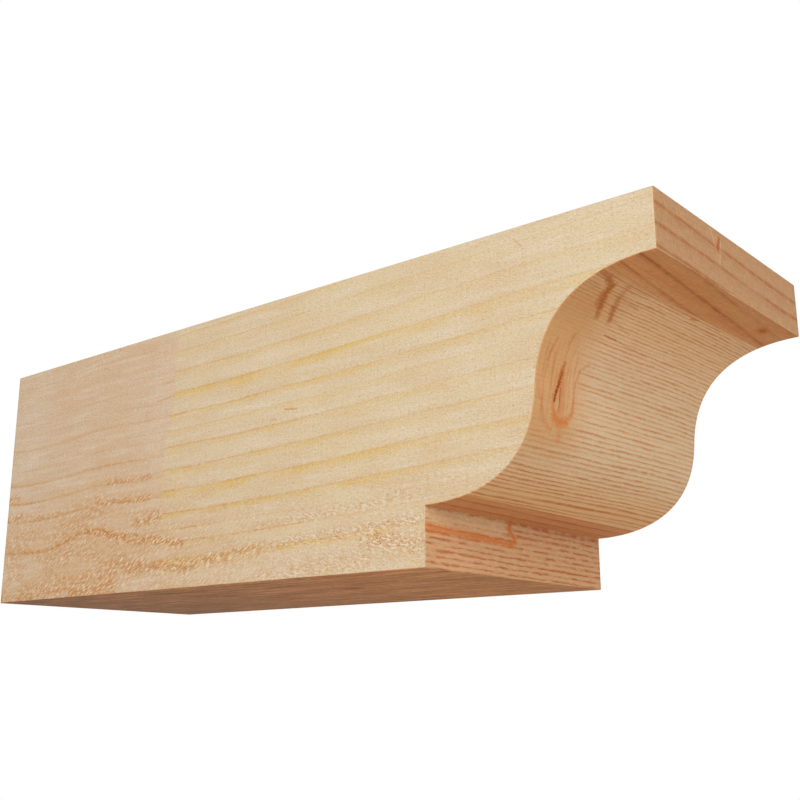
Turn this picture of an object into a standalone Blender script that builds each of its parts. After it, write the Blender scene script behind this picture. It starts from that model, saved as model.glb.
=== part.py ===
"""Carved rafter tail: the end of a rafter that shows below an eave.

One solid sawn timber. Its underside runs level from the cut back end to a heel, where it is
notched up by a short step. From the step it sweeps up and out in an ogee, a bulge that turns
into a cove, and it ends in a low square nose just under the top face.

Metres, +Z up. The length lies along X, with the nose at +X, and the width along Y. The origin
is the middle of the length and of the width, at the level of the underside.
"""

import math

import bmesh
import bpy
from mathutils import Vector
from mathutils.geometry import interpolate_bezier

# The timber: a rafter of nominal 6 by 6 inch stock, with a tail 18 inches long
TIMBER_LENGTH = 0.4572
TIMBER_WIDTH = 0.1524
TIMBER_HEIGHT = 0.1460

# The carved end, measured on the side face
HEEL_STEP = 0.0274
OGEE_RUN = 0.1184
NOSE_HEIGHT = 0.0275

# The ogee: it turns from bulge to cove halfway, where it leans out from the vertical.
# A handle is how long each end of a half pulls it straight, as a share of its rise or its run.
OGEE_LEAN = math.radians(5.0)
BULGE_RISE_HANDLE = 0.26
BULGE_RUN_HANDLE = 0.935
COVE_RISE_HANDLE = 0.975
COVE_RUN_HANDLE = 0.23
OGEE_HALF_SEGMENTS = 48

# The saw leaves the arrises crisp, so they are only just eased
ARRIS_EASE = 0.0005
ARRIS_SEGMENTS = 2
ARRIS_MIN_ANGLE = math.radians(30.0)

# Sawn softwood, without a finish
WOOD_COLOUR = (0.62, 0.40, 0.22, 1.0)
WOOD_ROUGHNESS = 0.8


def clear_scene():
    """Remove every object, so that the file holds only the timber."""
    for item in list(bpy.data.objects):
        bpy.data.objects.remove(item, do_unlink=True)


def ogee_half(turn, end, rise_handle, run_handle):
    """Points of half the ogee, from the turn in its middle to its level end."""
    rise = (end.z - turn.z) * rise_handle
    run = (end.x - turn.x) * run_handle
    leaving_turn = turn + Vector((rise * math.tan(OGEE_LEAN), 0.0, rise))
    reaching_end = end - Vector((run, 0.0, 0.0))
    return interpolate_bezier(turn, leaving_turn, reaching_end, end, OGEE_HALF_SEGMENTS + 1)


def side_outline():
    """The side face as points in the XZ plane, round from the back end's lower corner."""
    back = -TIMBER_LENGTH / 2
    nose = TIMBER_LENGTH / 2
    heel = nose - OGEE_RUN
    step_top = Vector((heel, 0.0, HEEL_STEP))
    nose_bottom = Vector((nose, 0.0, TIMBER_HEIGHT - NOSE_HEIGHT))
    turn = (step_top + nose_bottom) / 2
    bulge = ogee_half(turn, step_top, BULGE_RISE_HANDLE, BULGE_RUN_HANDLE)
    cove = ogee_half(turn, nose_bottom, COVE_RISE_HANDLE, COVE_RUN_HANDLE)
    outline = [Vector((back, 0.0, 0.0)), Vector((heel, 0.0, 0.0))]
    outline += bulge[::-1]
    outline += cove[1:]
    outline += [Vector((nose, 0.0, TIMBER_HEIGHT)), Vector((back, 0.0, TIMBER_HEIGHT))]
    return outline


def timber_mesh():
    """The side outline drawn out over the width, with its outer arrises marked for easing."""
    shape = bmesh.new()
    near_side = Vector((0.0, -TIMBER_WIDTH / 2, 0.0))
    corners = [shape.verts.new(point + near_side) for point in side_outline()]
    face = shape.faces.new(corners)
    swept = bmesh.ops.extrude_face_region(shape, geom=[face])
    far_corners = [item for item in swept["geom"] if isinstance(item, bmesh.types.BMVert)]
    bmesh.ops.translate(shape, verts=far_corners, vec=(0.0, TIMBER_WIDTH, 0.0))
    bmesh.ops.recalc_face_normals(shape, faces=shape.faces)
    ease = shape.edges.layers.float.new("bevel_weight_edge")
    for edge in shape.edges:
        if edge.is_convex and edge.calc_face_angle() > ARRIS_MIN_ANGLE:
            edge[ease] = 1.0
    mesh = bpy.data.meshes.new("rafter_tail")
    shape.to_mesh(mesh)
    shape.free()
    mesh.shade_smooth()
    mesh.set_sharp_from_angle(angle=ARRIS_MIN_ANGLE)
    return mesh


def sawn_timber():
    """Pale, dry softwood, straight from the saw."""
    material = bpy.data.materials.new("sawn_timber")
    material.use_nodes = True
    surface = material.node_tree.nodes["Principled BSDF"]
    surface.inputs["Base Color"].default_value = WOOD_COLOUR
    surface.inputs["Roughness"].default_value = WOOD_ROUGHNESS
    surface.inputs["Metallic"].default_value = 0.0
    return material


def rafter_tail():
    """The whole part: one timber, with its crisp arrises just eased."""
    timber = bpy.data.objects.new("rafter_tail", timber_mesh())
    bpy.context.collection.objects.link(timber)
    timber.data.materials.append(sawn_timber())
    ease = timber.modifiers.new("eased_arrises", "BEVEL")
    ease.width = ARRIS_EASE
    ease.segments = ARRIS_SEGMENTS
    ease.limit_method = "WEIGHT"
    return timber


clear_scene()
rafter_tail()
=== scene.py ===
"""Looks of the carved rafter tail: one sawn softwood timber, seen from below its nose.

The timber is rebuilt from the frame's own section as a fine closed mesh. A geometry tree cuts
the growth rings, the torn grain, the saw marks and the cracks into it, and each face's material
colours them. Both read one map, "flat", which lays each face out:

    sides            distance from the back end, height
    front            distance from the near side, way up from the heel over the ogee to the top
    underside, top   distance from the back end, distance from the near side
    back end         distance from the near side, height

The map is in metres. The grain's formulas read it in millimetres, and so do their places and
widths. All other lengths are in metres.
"""

from __future__ import annotations

import logging
import math
from collections.abc import Callable, Sequence
from dataclasses import dataclass
from enum import IntEnum

import bmesh
import bpy
import numpy as np
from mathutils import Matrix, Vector

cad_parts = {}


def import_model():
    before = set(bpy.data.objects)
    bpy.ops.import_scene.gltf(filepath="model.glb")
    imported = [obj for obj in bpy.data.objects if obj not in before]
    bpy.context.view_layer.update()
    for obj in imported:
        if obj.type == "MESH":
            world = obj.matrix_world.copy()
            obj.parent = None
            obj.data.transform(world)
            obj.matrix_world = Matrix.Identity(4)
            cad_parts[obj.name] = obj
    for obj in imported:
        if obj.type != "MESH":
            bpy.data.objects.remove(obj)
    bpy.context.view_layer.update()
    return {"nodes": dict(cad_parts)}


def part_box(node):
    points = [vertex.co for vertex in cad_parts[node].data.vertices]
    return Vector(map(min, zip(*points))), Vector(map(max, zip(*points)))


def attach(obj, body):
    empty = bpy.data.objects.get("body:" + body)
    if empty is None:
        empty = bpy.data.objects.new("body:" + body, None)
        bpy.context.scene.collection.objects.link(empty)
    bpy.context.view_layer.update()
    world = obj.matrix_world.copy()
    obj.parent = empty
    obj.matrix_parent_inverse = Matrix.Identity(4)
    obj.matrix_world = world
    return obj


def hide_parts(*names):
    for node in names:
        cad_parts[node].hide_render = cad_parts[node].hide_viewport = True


log = logging.getLogger("rafter_tail")

NODE = "rafter_tail"
BODY = "root"
FLAT_MAP = "flat"
MM = 1000.0
MIN_DRAWN_OUT = 0.05
ARRIS_EASE = 0.0004
SHARP_ANGLE = 0.6
WELD = 1e-6
CORNER_STEPS = (0.0, math.pi / 4, math.pi / 2)
RIGHT = np.array([1.0, 0.0])
UP = np.array([0.0, 1.0])

Colour = tuple[float, float, float, float]
Point = tuple[float, float]
Socket = bpy.types.NodeSocket
Value = float | Sequence[float] | Socket
Grain = Sequence[Value]

# A fade is what NodeDesk.ease takes: low, high, start, end. A window is low, high and edge. A sway
# is the grain, the reach and the seed of one layer of NodeDesk.wander.
Fade = tuple[float, float, float, float]
Window = tuple[float, float, float]
Sway = tuple[Point, float, float]


class Face(IntEnum):
    """The faces of the timber, as the material and the relief tell them apart."""

    NEAR_SIDE = 0
    FAR_SIDE = 1
    FRONT = 2
    UNDERSIDE = 3
    TOP = 4
    BACK_END = 5


def tone(red: float, green: float, blue: float) -> Colour:
    """A colour given as it looks on a screen, turned into the linear colour of a shader.

    Args:
        red: screen value of red, 0 to 255.
        green: screen value of green, 0 to 255.
        blue: screen value of blue, 0 to 255.

    Returns:
        The linear colour, with alpha 1.
    """

    def linear(value: float) -> float:
        """One channel, by the sRGB curve."""
        share = value / 255.0
        return share / 12.92 if share <= 0.04045 else ((share + 0.055) / 1.055) ** 2.4

    return (linear(red), linear(green), linear(blue), 1.0)


class NodeDesk:
    """Places nodes in one tree, of a shader or of geometry, so that a formula reads in order."""

    def __init__(self, tree: bpy.types.NodeTree) -> None:
        """Keep the tree that the nodes go into."""
        self.tree = tree

    def node(self, kind: str, **settings: object) -> bpy.types.Node:
        """Place one node.

        Args:
            kind: the node's type name.
            settings: values of the node's own properties.

        Returns:
            The new node.
        """
        placed = self.tree.nodes.new(kind)
        for name, value in settings.items():
            setattr(placed, name, value)
        return placed

    def feed(self, socket: Socket, value: Value) -> None:
        """Link a socket to another, or set its plain value."""
        if isinstance(value, bpy.types.NodeSocket):
            self.tree.links.new(value, socket)
        else:
            socket.default_value = value

    def plug(self, placed: bpy.types.Node, values: dict[str | int, Value]) -> bpy.types.Node:
        """Feed a node's inputs, by name or by place, and give back the node."""
        for key, value in values.items():
            self.feed(placed.inputs[key], value)
        return placed

    def worked(self, kind: str, operation: str, terms: Sequence[Value]) -> bpy.types.NodeOutputs:
        """Place a node that works on terms, and give back its outputs."""
        placed = self.node(kind, operation=operation)
        for socket, term in zip(placed.inputs, terms):
            self.feed(socket, term)
        return placed.outputs

    def number(self, operation: str, *terms: Value) -> Socket:
        """The result of a Math node on its terms."""
        return self.worked("ShaderNodeMath", operation, terms)[0]

    def folded(self, operation: str, *terms: Value) -> Socket:
        """One operation worked through a row of terms, as for a sum or a product."""
        result = terms[0]
        for term in terms[1:]:
            result = self.number(operation, result, term)
        return result

    def total(self, *terms: Value) -> Socket:
        """The sum of the terms."""
        return self.folded("ADD", *terms)

    def product(self, *terms: Value) -> Socket:
        """The product of the terms."""
        return self.folded("MULTIPLY", *terms)

    def highest(self, *terms: Value) -> Socket:
        """The highest of the terms."""
        return self.folded("MAXIMUM", *terms)

    def rest(self, share: Value) -> Socket:
        """What is left of 1 beside a share."""
        return self.number("SUBTRACT", 1.0, share)

    def vector(self, operation: str, *terms: Value) -> Socket:
        """The vector that a Vector Math node gives."""
        return self.worked("ShaderNodeVectorMath", operation, terms)["Vector"]

    def measure(self, operation: str, *terms: Value) -> Socket:
        """The number that a Vector Math node gives, as for a length or a dot product."""
        return self.worked("ShaderNodeVectorMath", operation, terms)["Value"]

    def split(self, vector: Value) -> tuple[Socket, Socket]:
        """The first two parts of a vector."""
        parts = self.plug(self.node("ShaderNodeSeparateXYZ"), {0: vector}).outputs
        return parts[0], parts[1]

    def join(self, first: Value, second: Value, third: Value = 0.0) -> Socket:
        """A vector of three numbers."""
        return self.plug(self.node("ShaderNodeCombineXYZ"), {0: first, 1: second, 2: third}).outputs[0]

    def ease(self, value: Value, low: Value, high: Value, start: Value = 0.0, end: Value = 1.0) -> Socket:
        """A number that goes smoothly from start to end while a value goes from low to high.

        Args:
            value: what is read.
            low: the value where the change starts, below high.
            high: the value where it ends.
            start: the result up to low.
            end: the result from high on.

        Returns:
            The result.
        """
        placed = self.node("ShaderNodeMapRange", interpolation_type="SMOOTHSTEP")
        return self.plug(placed, {0: value, 1: low, 2: high, 3: start, 4: end}).outputs[0]

    def window(self, value: Value, low: float, high: float, edge: float) -> Socket:
        """1 while a value is between low and high, 0 outside, with a soft edge of a given width."""
        rising = self.ease(value, low - edge / 2, low + edge / 2)
        falling = self.ease(value, high - edge / 2, high + edge / 2, 1.0, 0.0)
        return self.product(rising, falling)

    def blend(self, share: Value, first: Value, second: Value) -> Socket:
        """A number between two others, by a share."""
        placed = self.node("ShaderNodeMix", data_type="FLOAT")
        return self.plug(placed, {0: share, 2: first, 3: second}).outputs[0]

    def tint(self, share: Value, first: Value, second: Value, way: str = "MIX") -> Socket:
        """A second colour laid over a first one.

        Args:
            share: how much of the second colour shows.
            first: the colour below.
            second: the colour above.
            way: the Mix node's blend type.

        Returns:
            The mixed colour.
        """
        placed = self.node("ShaderNodeMix", data_type="RGBA", blend_type=way)
        return self.plug(placed, {0: share, 6: first, 7: second}).outputs[2]

    def laid(self, below: Value, above: Value, *masks: Value) -> Socket:
        """A colour laid over another as strongly as the product of some masks."""
        return self.tint(self.product(*masks), below, above)

    def stretched(self, place: Value, grain: Grain, third: Value = 0.0) -> Socket:
        """A place on a face counted in grains, which are as long and as wide as given."""
        shares = [self.number("DIVIDE", part, size) for part, size in zip(self.split(place), grain)]
        return self.join(*shares, third)

    def noise(self, place: Value, grain: Grain, detail: float = 1.0, seed: Value = 0.0) -> Socket:
        """Noise with its own grain size along each of the two directions of a face.

        Args:
            place: where the face is read.
            grain: the size of one swell along the first and the second direction.
            detail: how many finer layers lie on the first.
            seed: a third coordinate, which sets two noises apart.

        Returns:
            The noise, from 0 to 1 about 0.5.
        """
        placed = self.node("ShaderNodeTexNoise", noise_dimensions="3D")
        values = {"Vector": self.stretched(place, grain, seed), "Scale": 1.0, "Detail": detail}
        return self.plug(placed, values).outputs[0]

    def flat_noise(self, place: Value, detail: float) -> Socket:
        """Noise on a plane, with a grain of about 1."""
        placed = self.node("ShaderNodeTexNoise", noise_dimensions="2D")
        return self.plug(placed, {"Vector": place, "Scale": 1.0, "Detail": detail}).outputs[0]

    def wander(self, place: Value, grain: Point, reach: float, seed: float = 0.0) -> Socket:
        """Noise about zero that wanders out to about a reach on either side."""
        swing = self.number("SUBTRACT", self.noise(place, grain, 1.0, seed), 0.5)
        return self.number("MULTIPLY", swing, 2.0 * reach)

    def swayed(self, value: Value, place: Value, sways: Sequence[Sway], seed: float = 0.0) -> Socket:
        """A value with several layers of noise on it.

        Args:
            value: the value.
            place: where the face is read.
            sways: each layer's grain, reach and seed.
            seed: a number added to every layer's seed.

        Returns:
            The swayed value.
        """
        layers = [self.wander(place, grain, reach, seed + own) for grain, reach, own in sways]
        return self.total(value, *layers)

    def curve(self, value: Value, knots: Sequence[Point], rounded: bool = False) -> Socket:
        """A number read off a curve through knots.

        Args:
            value: the number that is looked up.
            knots: the curve's points, by rising first number.
            rounded: whether the curve is round at its knots or straight between them.

        Returns:
            The second number at that place of the curve.
        """
        low, high = knots[0][0], knots[-1][0]
        floor = min(knot[1] for knot in knots)
        span = max(knot[1] for knot in knots) - floor
        share = self.number("DIVIDE", self.number("SUBTRACT", value, low), high - low)
        placed = self.node("ShaderNodeFloatCurve")
        line = placed.mapping.curves[0]
        while len(line.points) < len(knots):
            line.points.new(0.5, 0.5)
        for point, knot in zip(line.points, knots):
            point.location = ((knot[0] - low) / (high - low), (knot[1] - floor) / span)
            point.handle_type = "AUTO_CLAMPED" if rounded else "VECTOR"
        placed.mapping.update()
        self.plug(placed, {"Value": share})
        return self.number("MULTIPLY_ADD", placed.outputs[0], span, floor)

    def steps(self, index: Value, values: Sequence[float]) -> Socket:
        """A number looked up in a row by its index, which counts from 0."""
        placed = self.node("ShaderNodeValToRGB")
        ramp = placed.color_ramp
        ramp.interpolation = "CONSTANT"
        while len(ramp.elements) < len(values):
            ramp.elements.new(1.0)
        for order, (stop, value) in enumerate(zip(ramp.elements, values)):
            stop.position = order / len(values)
            stop.color = (value, value, value, 1.0)
        share = self.number("DIVIDE", self.number("ADD", index, 0.5), float(len(values)))
        return self.plug(placed, {0: share}).outputs[0]

    def group(self, inner: bpy.types.NodeTree, **values: Value) -> bpy.types.Node:
        """Place a node group and give its inputs their values.

        Args:
            inner: the group's tree.
            values: a value or a socket for each input, by the input's name in lower case.

        Returns:
            The group's node.
        """
        in_geometry = inner.bl_idname == "GeometryNodeTree"
        placed = self.node("GeometryNodeGroup" if in_geometry else "ShaderNodeGroup")
        placed.node_tree = inner
        named = {socket.name.lower().replace(" ", "_"): socket.name for socket in placed.inputs}
        return self.plug(placed, {named[name]: value for name, value in values.items()})


Fill = Callable[[NodeDesk, bpy.types.NodeInputs], dict[str, Socket]]


def node_group(
    like: bpy.types.NodeTree, name: str, inputs: dict[str, str], outputs: Sequence[str], fill: Fill
) -> bpy.types.NodeTree:
    """Make a node group for the same kind of tree as another, or give back the one it has.

    Args:
        like: a tree of the kind that the group is for.
        name: the group's name.
        inputs: each input's name and socket type.
        outputs: the names of the outputs, which are all numbers.
        fill: places the inner nodes and returns a socket for each output's name.

    Returns:
        The group's tree.
    """
    kind = like.bl_idname
    full_name = f"{name} for {'relief' if kind == 'GeometryNodeTree' else 'colour'}"
    if full_name in bpy.data.node_groups:
        return bpy.data.node_groups[full_name]
    tree = bpy.data.node_groups.new(full_name, kind)
    for socket_name, socket_kind in inputs.items():
        tree.interface.new_socket(socket_name, in_out="INPUT", socket_type=socket_kind)
    for socket_name in outputs:
        tree.interface.new_socket(socket_name, in_out="OUTPUT", socket_type="NodeSocketFloat")
    desk = NodeDesk(tree)
    results = fill(desk, desk.node("NodeGroupInput").outputs)
    desk.plug(desk.node("NodeGroupOutput"), results)
    return tree


def growth_lines(like: bpy.types.NodeTree) -> bpy.types.NodeTree:
    """The group that turns a ring count into a sharp late line and the soft band below it."""

    def fill(desk: NodeDesk, given: bpy.types.NodeInputs) -> dict[str, Socket]:
        """The line peaks at each whole count, and the band fades away below it."""
        above = desk.number("FRACT", given["Rings"])
        below = desk.rest(above)
        nearest = desk.number("MINIMUM", above, below)
        line = desk.ease(nearest, 0.0, given["Line share"], 1.0, 0.0)
        band = desk.ease(below, 0.0, given["Band share"], 1.0, 0.0)
        return {"Line": line, "Band": band}

    inputs = dict.fromkeys(("Rings", "Line share", "Band share"), "NodeSocketFloat")
    return node_group(like, "growth lines", inputs, ("Line", "Band"), fill)


def soft_stroke(like: bpy.types.NodeTree) -> bpy.types.NodeTree:
    """The group that masks a ragged stroke drawn from one point of a face to another."""
    hair = (2.6, 0.8)
    ragged_share = 1.2
    core_share = 0.1
    edge_share = 1.15

    def fill(desk: NodeDesk, given: bpy.types.NodeInputs) -> dict[str, Socket]:
        """The mask falls off with the distance from the stroke's line, which noise makes uneven."""
        along = desk.vector("SUBTRACT", given["End"], given["Start"])
        reach = desk.vector("SUBTRACT", given["Place"], given["Start"])
        length = desk.number("MAXIMUM", desk.measure("DOT_PRODUCT", along, along), 1e-6)
        share = desk.number("DIVIDE", desk.measure("DOT_PRODUCT", reach, along), length)
        share = desk.number("MINIMUM", desk.number("MAXIMUM", share, 0.0), 1.0)
        nearest = desk.vector("MULTIPLY", along, desk.join(share, share, share))
        distance = desk.measure("LENGTH", desk.vector("SUBTRACT", reach, nearest))
        widths = desk.number("DIVIDE", distance, given["Half width"])
        uneven = desk.flat_noise(desk.stretched(given["Place"], hair), 2.0)
        ragged = desk.number("MULTIPLY_ADD", uneven, ragged_share, -ragged_share / 2)
        return {"Mask": desk.ease(desk.total(widths, ragged), core_share, edge_share, 1.0, 0.0)}

    inputs = dict.fromkeys(("Place", "Start", "End"), "NodeSocketVector")
    inputs["Half width"] = "NodeSocketFloat"
    return node_group(like, "soft stroke", inputs, ("Mask",), fill)


def torn_fibres(like: bpy.types.NodeTree) -> bpy.types.NodeTree:
    """The group that gives the tufts and pits of sawn grain, which lie along a slant."""
    bend = ((6.0, 5.0), 0.5, 4.0)
    curl_level = 0.47
    curl_core = 0.01
    tuft_edges = (0.55, 0.66)
    hollow_edges = (0.32, 0.43)

    def fill(desk: NodeDesk, given: bpy.types.NodeInputs) -> dict[str, Socket]:
        """Stretched noise in a turned frame, sharpened so that tufts and pits stand apart."""
        turn = desk.node("ShaderNodeVectorRotate", rotation_type="Z_AXIS")
        desk.plug(turn, {"Vector": given["Place"], "Angle": desk.number("MULTIPLY", given["Slant"], -1.0)})
        along, beside = desk.split(turn.outputs[0])
        bent = desk.total(beside, desk.wander(turn.outputs[0], *bend))
        size = desk.join(given["Length"], given["Width"], 1.0)
        fibre = desk.flat_noise(desk.vector("DIVIDE", desk.join(along, bent), size), 1.2)
        curl = desk.number("ABSOLUTE", desk.number("SUBTRACT", fibre, curl_level))
        pit = desk.ease(curl, curl_core, given["Curl"], 1.0, 0.0)
        hollow = desk.ease(fibre, *hollow_edges, given["Hollow"], 0.0)
        return {"Tuft": desk.ease(fibre, *tuft_edges), "Pit": desk.highest(pit, hollow)}

    inputs = {"Place": "NodeSocketVector"}
    inputs.update(dict.fromkeys(("Slant", "Length", "Width", "Curl", "Hollow"), "NodeSocketFloat"))
    return node_group(like, "torn fibres", inputs, ("Tuft", "Pit"), fill)


def grain_mottle(like: bpy.types.NodeTree) -> bpy.types.NodeTree:
    """The group that gives a brightness about 1, a little higher and lower from spot to spot."""

    def fill(desk: NodeDesk, given: bpy.types.NodeInputs) -> dict[str, Socket]:
        """Noise spread so that it swings about as far as the strength on either side."""
        spots = desk.noise(given["Place"], (given["Length"], given["Width"]), 2.0, given["Seed"])
        swing = desk.number("MULTIPLY_ADD", spots, 4.0, -2.0)
        return {"Level": desk.number("MULTIPLY_ADD", swing, given["Strength"], 1.0)}

    inputs = {"Place": "NodeSocketVector"}
    inputs.update(dict.fromkeys(("Length", "Width", "Strength", "Seed"), "NodeSocketFloat"))
    return node_group(like, "grain mottle", inputs, ("Level",), fill)


def bare_wood(like: bpy.types.NodeTree) -> bpy.types.NodeTree:
    """The group that gives the height of the finest fibres and the uneven roughness of bare wood."""
    fibre_grain = (1.6, 0.7)
    pore_grain = (0.45, 0.4)
    worn_grain = (6.0, 2.0)

    def fill(desk: NodeDesk, given: bpy.types.NodeInputs) -> dict[str, Socket]:
        """Two layers of noise for the height, and one for the roughness."""
        fibres = desk.product(desk.noise(given["Place"], fibre_grain, 3.0, 101.0), 0.6)
        pores = desk.product(desk.noise(given["Place"], pore_grain, 1.0, 103.0), 0.3)
        worn = desk.noise(given["Place"], worn_grain, 1.0, 105.0)
        roughness = desk.number("MULTIPLY_ADD", worn, given["Range"], given["Lowest"])
        return {"Height": desk.total(fibres, pores), "Roughness": roughness}

    inputs = {"Place": "NodeSocketVector", "Lowest": "NodeSocketFloat", "Range": "NodeSocketFloat"}
    return node_group(like, "bare wood", inputs, ("Height", "Roughness"), fill)


@dataclass(frozen=True)
class Ring:
    """A growth ring's late line on a side: its height, and how strongly line and band show."""

    height: float
    line: float
    band: float


@dataclass(frozen=True)
class Stroke:
    """A soft-edged mark on a face, from one point to another, in millimetres."""

    start: Point
    end: Point
    half_width: float
    strength: float = 1.0


def strokes(*rows: Sequence[float]) -> tuple[Stroke, ...]:
    """Strokes from rows of their start, end, half width and, where it isn't 1, strength."""
    return tuple(Stroke((row[0], row[1]), (row[2], row[3]), *row[4:]) for row in rows)


def growth_rings(*rows: Sequence[float]) -> tuple[Ring, ...]:
    """Growth rings from rows of their height and the strengths of line and band."""
    return tuple(Ring(*row) for row in rows)


@dataclass(frozen=True)
class Patches:
    """Soft patches made from noise: how large they are, and how the noise becomes their strength."""

    grain: Point
    seed: float
    fade: Fade
    detail: float = 2.0

    def draw(self, desk: NodeDesk, place: Value, seed: float = 0.0) -> Socket:
        """Place the nodes that draw the patches, with a number added to their seed."""
        return desk.ease(desk.noise(place, self.grain, self.detail, self.seed + seed), *self.fade)


@dataclass(frozen=True)
class Mottle:
    """How long and wide the spots of uneven brightness are, how strong, and their noise's seed."""

    grain: Point
    strength: float
    seed: float


def mottled(desk: NodeDesk, colour: Value, place: Socket, *mottles: Mottle) -> Value:
    """A colour made a little lighter and darker by noise, layer after layer.

    Args:
        desk: the tree's desk.
        colour: the colour that is varied.
        place: where the face is read.
        mottles: the layers.

    Returns:
        The varied colour.
    """
    for mottle in mottles:
        length, width = mottle.grain
        drawn = desk.group(
            grain_mottle(desk.tree),
            place=place,
            length=length,
            width=width,
            strength=mottle.strength,
            seed=mottle.seed,
        )
        level = drawn.outputs["Level"]
        colour = desk.tint(1.0, colour, desk.join(level, level, level), "MULTIPLY")
    return colour


@dataclass(frozen=True)
class Fibres:
    """How torn fibres lie: their slant in degrees, their size, their curl and their hollows."""

    slant: float
    length: float
    width: float
    curl: float
    hollow: float

    def draw(self, desk: NodeDesk, place: Socket) -> tuple[Socket, Socket]:
        """Place the nodes that draw the fibres, and give back their tufts and their pits."""
        placed = desk.group(
            torn_fibres(desk.tree),
            place=place,
            slant=math.radians(self.slant),
            length=self.length,
            width=self.width,
            curl=self.curl,
            hollow=self.hollow,
        )
        return placed.outputs["Tuft"], placed.outputs["Pit"]


def masked(desk: NodeDesk, place: Socket, marks: Sequence[Stroke]) -> Socket:
    """The highest mask of several strokes, each times its strength.

    Args:
        desk: the tree's desk.
        place: where the face is read.
        marks: the strokes.

    Returns:
        A number from 0 to 1.
    """
    highest: Value = 0.0
    for stroke in marks:
        placed = desk.group(
            soft_stroke(desk.tree),
            place=place,
            start=(*stroke.start, 0.0),
            end=(*stroke.end, 0.0),
            half_width=stroke.half_width,
        )
        shown = desk.number("MULTIPLY", placed.outputs[0], stroke.strength)
        highest = desk.number("MAXIMUM", highest, shown)
    return highest


RING_SWAYS: tuple[Sway, ...] = (((55.0, 14.0), 0.9, 0.0), ((7.0, 1.6), 0.45, 5.0))
RING_RAGS = (1.6, 0.8)
RING_RAG_SEED = 9.0
BAND_SWAY: Sway = ((16.0, 4.0), 0.5, 6.0)
LINE_UNEVEN = Patches((38.0, 5.0), 2.0, (0.34, 0.6, 0.45, 1.0))
LINE_BREAKS = Patches((3.0, 1.2), 3.0, (0.38, 0.56, 0.3, 1.0))
BAND_UNEVEN = Patches((32.0, 6.0), 4.0, (0.34, 0.6, 0.45, 1.0))


@dataclass(frozen=True)
class Rings:
    """How the growth rings run over a stretch of a side."""

    rings: Sequence[Ring]
    rise: Sequence[Point]
    swell: Sequence[Point] = ((0.0, 0.0), (457.0, 1.0))
    swell_fade: Point = (1.0, 2.0)
    has_swell: bool = False
    fades_up: bool = False
    seed: float = 0.0
    line_share: float = 0.075
    raggedness: float = 0.3
    band_share: float = 0.6

    def draw(self, desk: NodeDesk, place: Socket) -> tuple[Socket, Socket]:
        """Place the nodes that draw the rings.

        Args:
            desk: the tree's desk.
            place: where the side is read.

        Returns:
            The late line and the soft band below it, each from 0 to 1.
        """
        across, height = desk.split(place)
        level = desk.number("SUBTRACT", height, desk.curve(across, self.rise, rounded=True))
        if self.has_swell:
            fade = desk.ease(height, *self.swell_fade, 1.0, 0.0)
            level = desk.number("SUBTRACT", level, desk.product(desk.curve(across, self.swell, True), fade))
        sways = (*RING_SWAYS, (RING_RAGS, self.raggedness, RING_RAG_SEED))
        level = desk.swayed(level, place, sways, self.seed)
        heights = [ring.height for ring in self.rings]
        pitch = (heights[-1] - heights[0]) / (len(heights) - 1)
        levels = [heights[0] - pitch, *heights, heights[-1] + pitch]
        counts = [float(order) for order in range(len(levels))]
        rings = list(self.rings)
        if self.fades_up:
            counts.reverse()
            rings.reverse()
        count = desk.curve(level, list(zip(levels, counts)))
        spread = desk.swayed(self.band_share, place, (BAND_SWAY,), self.seed)
        drawn = desk.group(
            growth_lines(desk.tree), rings=count, line_share=self.line_share, band_share=spread
        )
        line_strength = desk.steps(desk.number("ROUND", count), [0.0, *(ring.line for ring in rings), 0.0])
        band_strength = desk.steps(desk.number("CEIL", count), [0.0, *(ring.band for ring in rings), 0.0])
        uneven = LINE_UNEVEN.draw(desk, place, self.seed)
        broken = LINE_BREAKS.draw(desk, place, self.seed)
        line = desk.product(drawn.outputs["Line"], line_strength, uneven, broken)
        band = desk.product(drawn.outputs["Band"], band_strength, BAND_UNEVEN.draw(desk, place, self.seed))
        return line, band


NOSE_RINGS = Rings(
    rings=growth_rings(
        (16.0, 0.35, 0.75), (25.3, 1.0, 0.25), (32.0, 0.35, 0.1), (41.2, 1.0, 0.9),
        (53.6, 0.8, 1.0), (65.7, 0.8, 0.65), (78.0, 0.7, 0.6), (87.5, 0.4, 0.4), (96.2, 0.95, 0.75),
        (109.0, 0.6, 1.0), (121.0, 0.6, 0.5), (133.0, 0.6, 0.35), (142.5, 0.5, 0.3),
    ),
    rise=((0.0, 0.0), (170.0, 0.0), (230.0, 0.8), (330.0, 4.5), (457.0, 9.0)),
)

BACK_RINGS = Rings(
    rings=growth_rings(
        (12.0, 0.0, 0.2), (30.4, 1.6, 1.0), (40.0, 0.1, 0.2), (49.3, 1.0, 0.8), (60.8, 1.0, 0.7),
        (72.3, 0.8, 0.5), (82.0, 0.4, 0.2), (86.5, 0.3, 0.1), (95.0, 0.6, 0.3), (103.5, 0.25, 0.1),
        (113.0, 0.25, 0.15), (126.0, 0.15, 0.3), (136.0, 0.3, 0.3),
    ),
    rise=((0.0, 1.0), (28.0, -0.4), (60.0, 0.6), (105.0, 2.6), (135.0, 1.5), (170.0, 1.0)),
    swell=((0.0, 0.0), (40.0, -0.5), (62.0, 1.5), (88.0, 5.0), (112.0, 0.5), (138.0, -5.5), (165.0, -7.5)),
    swell_fade=(36.0, 50.0),
    has_swell=True,
    fades_up=True,
    seed=20.0,
    line_share=0.12,
    raggedness=0.6,
)

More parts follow.
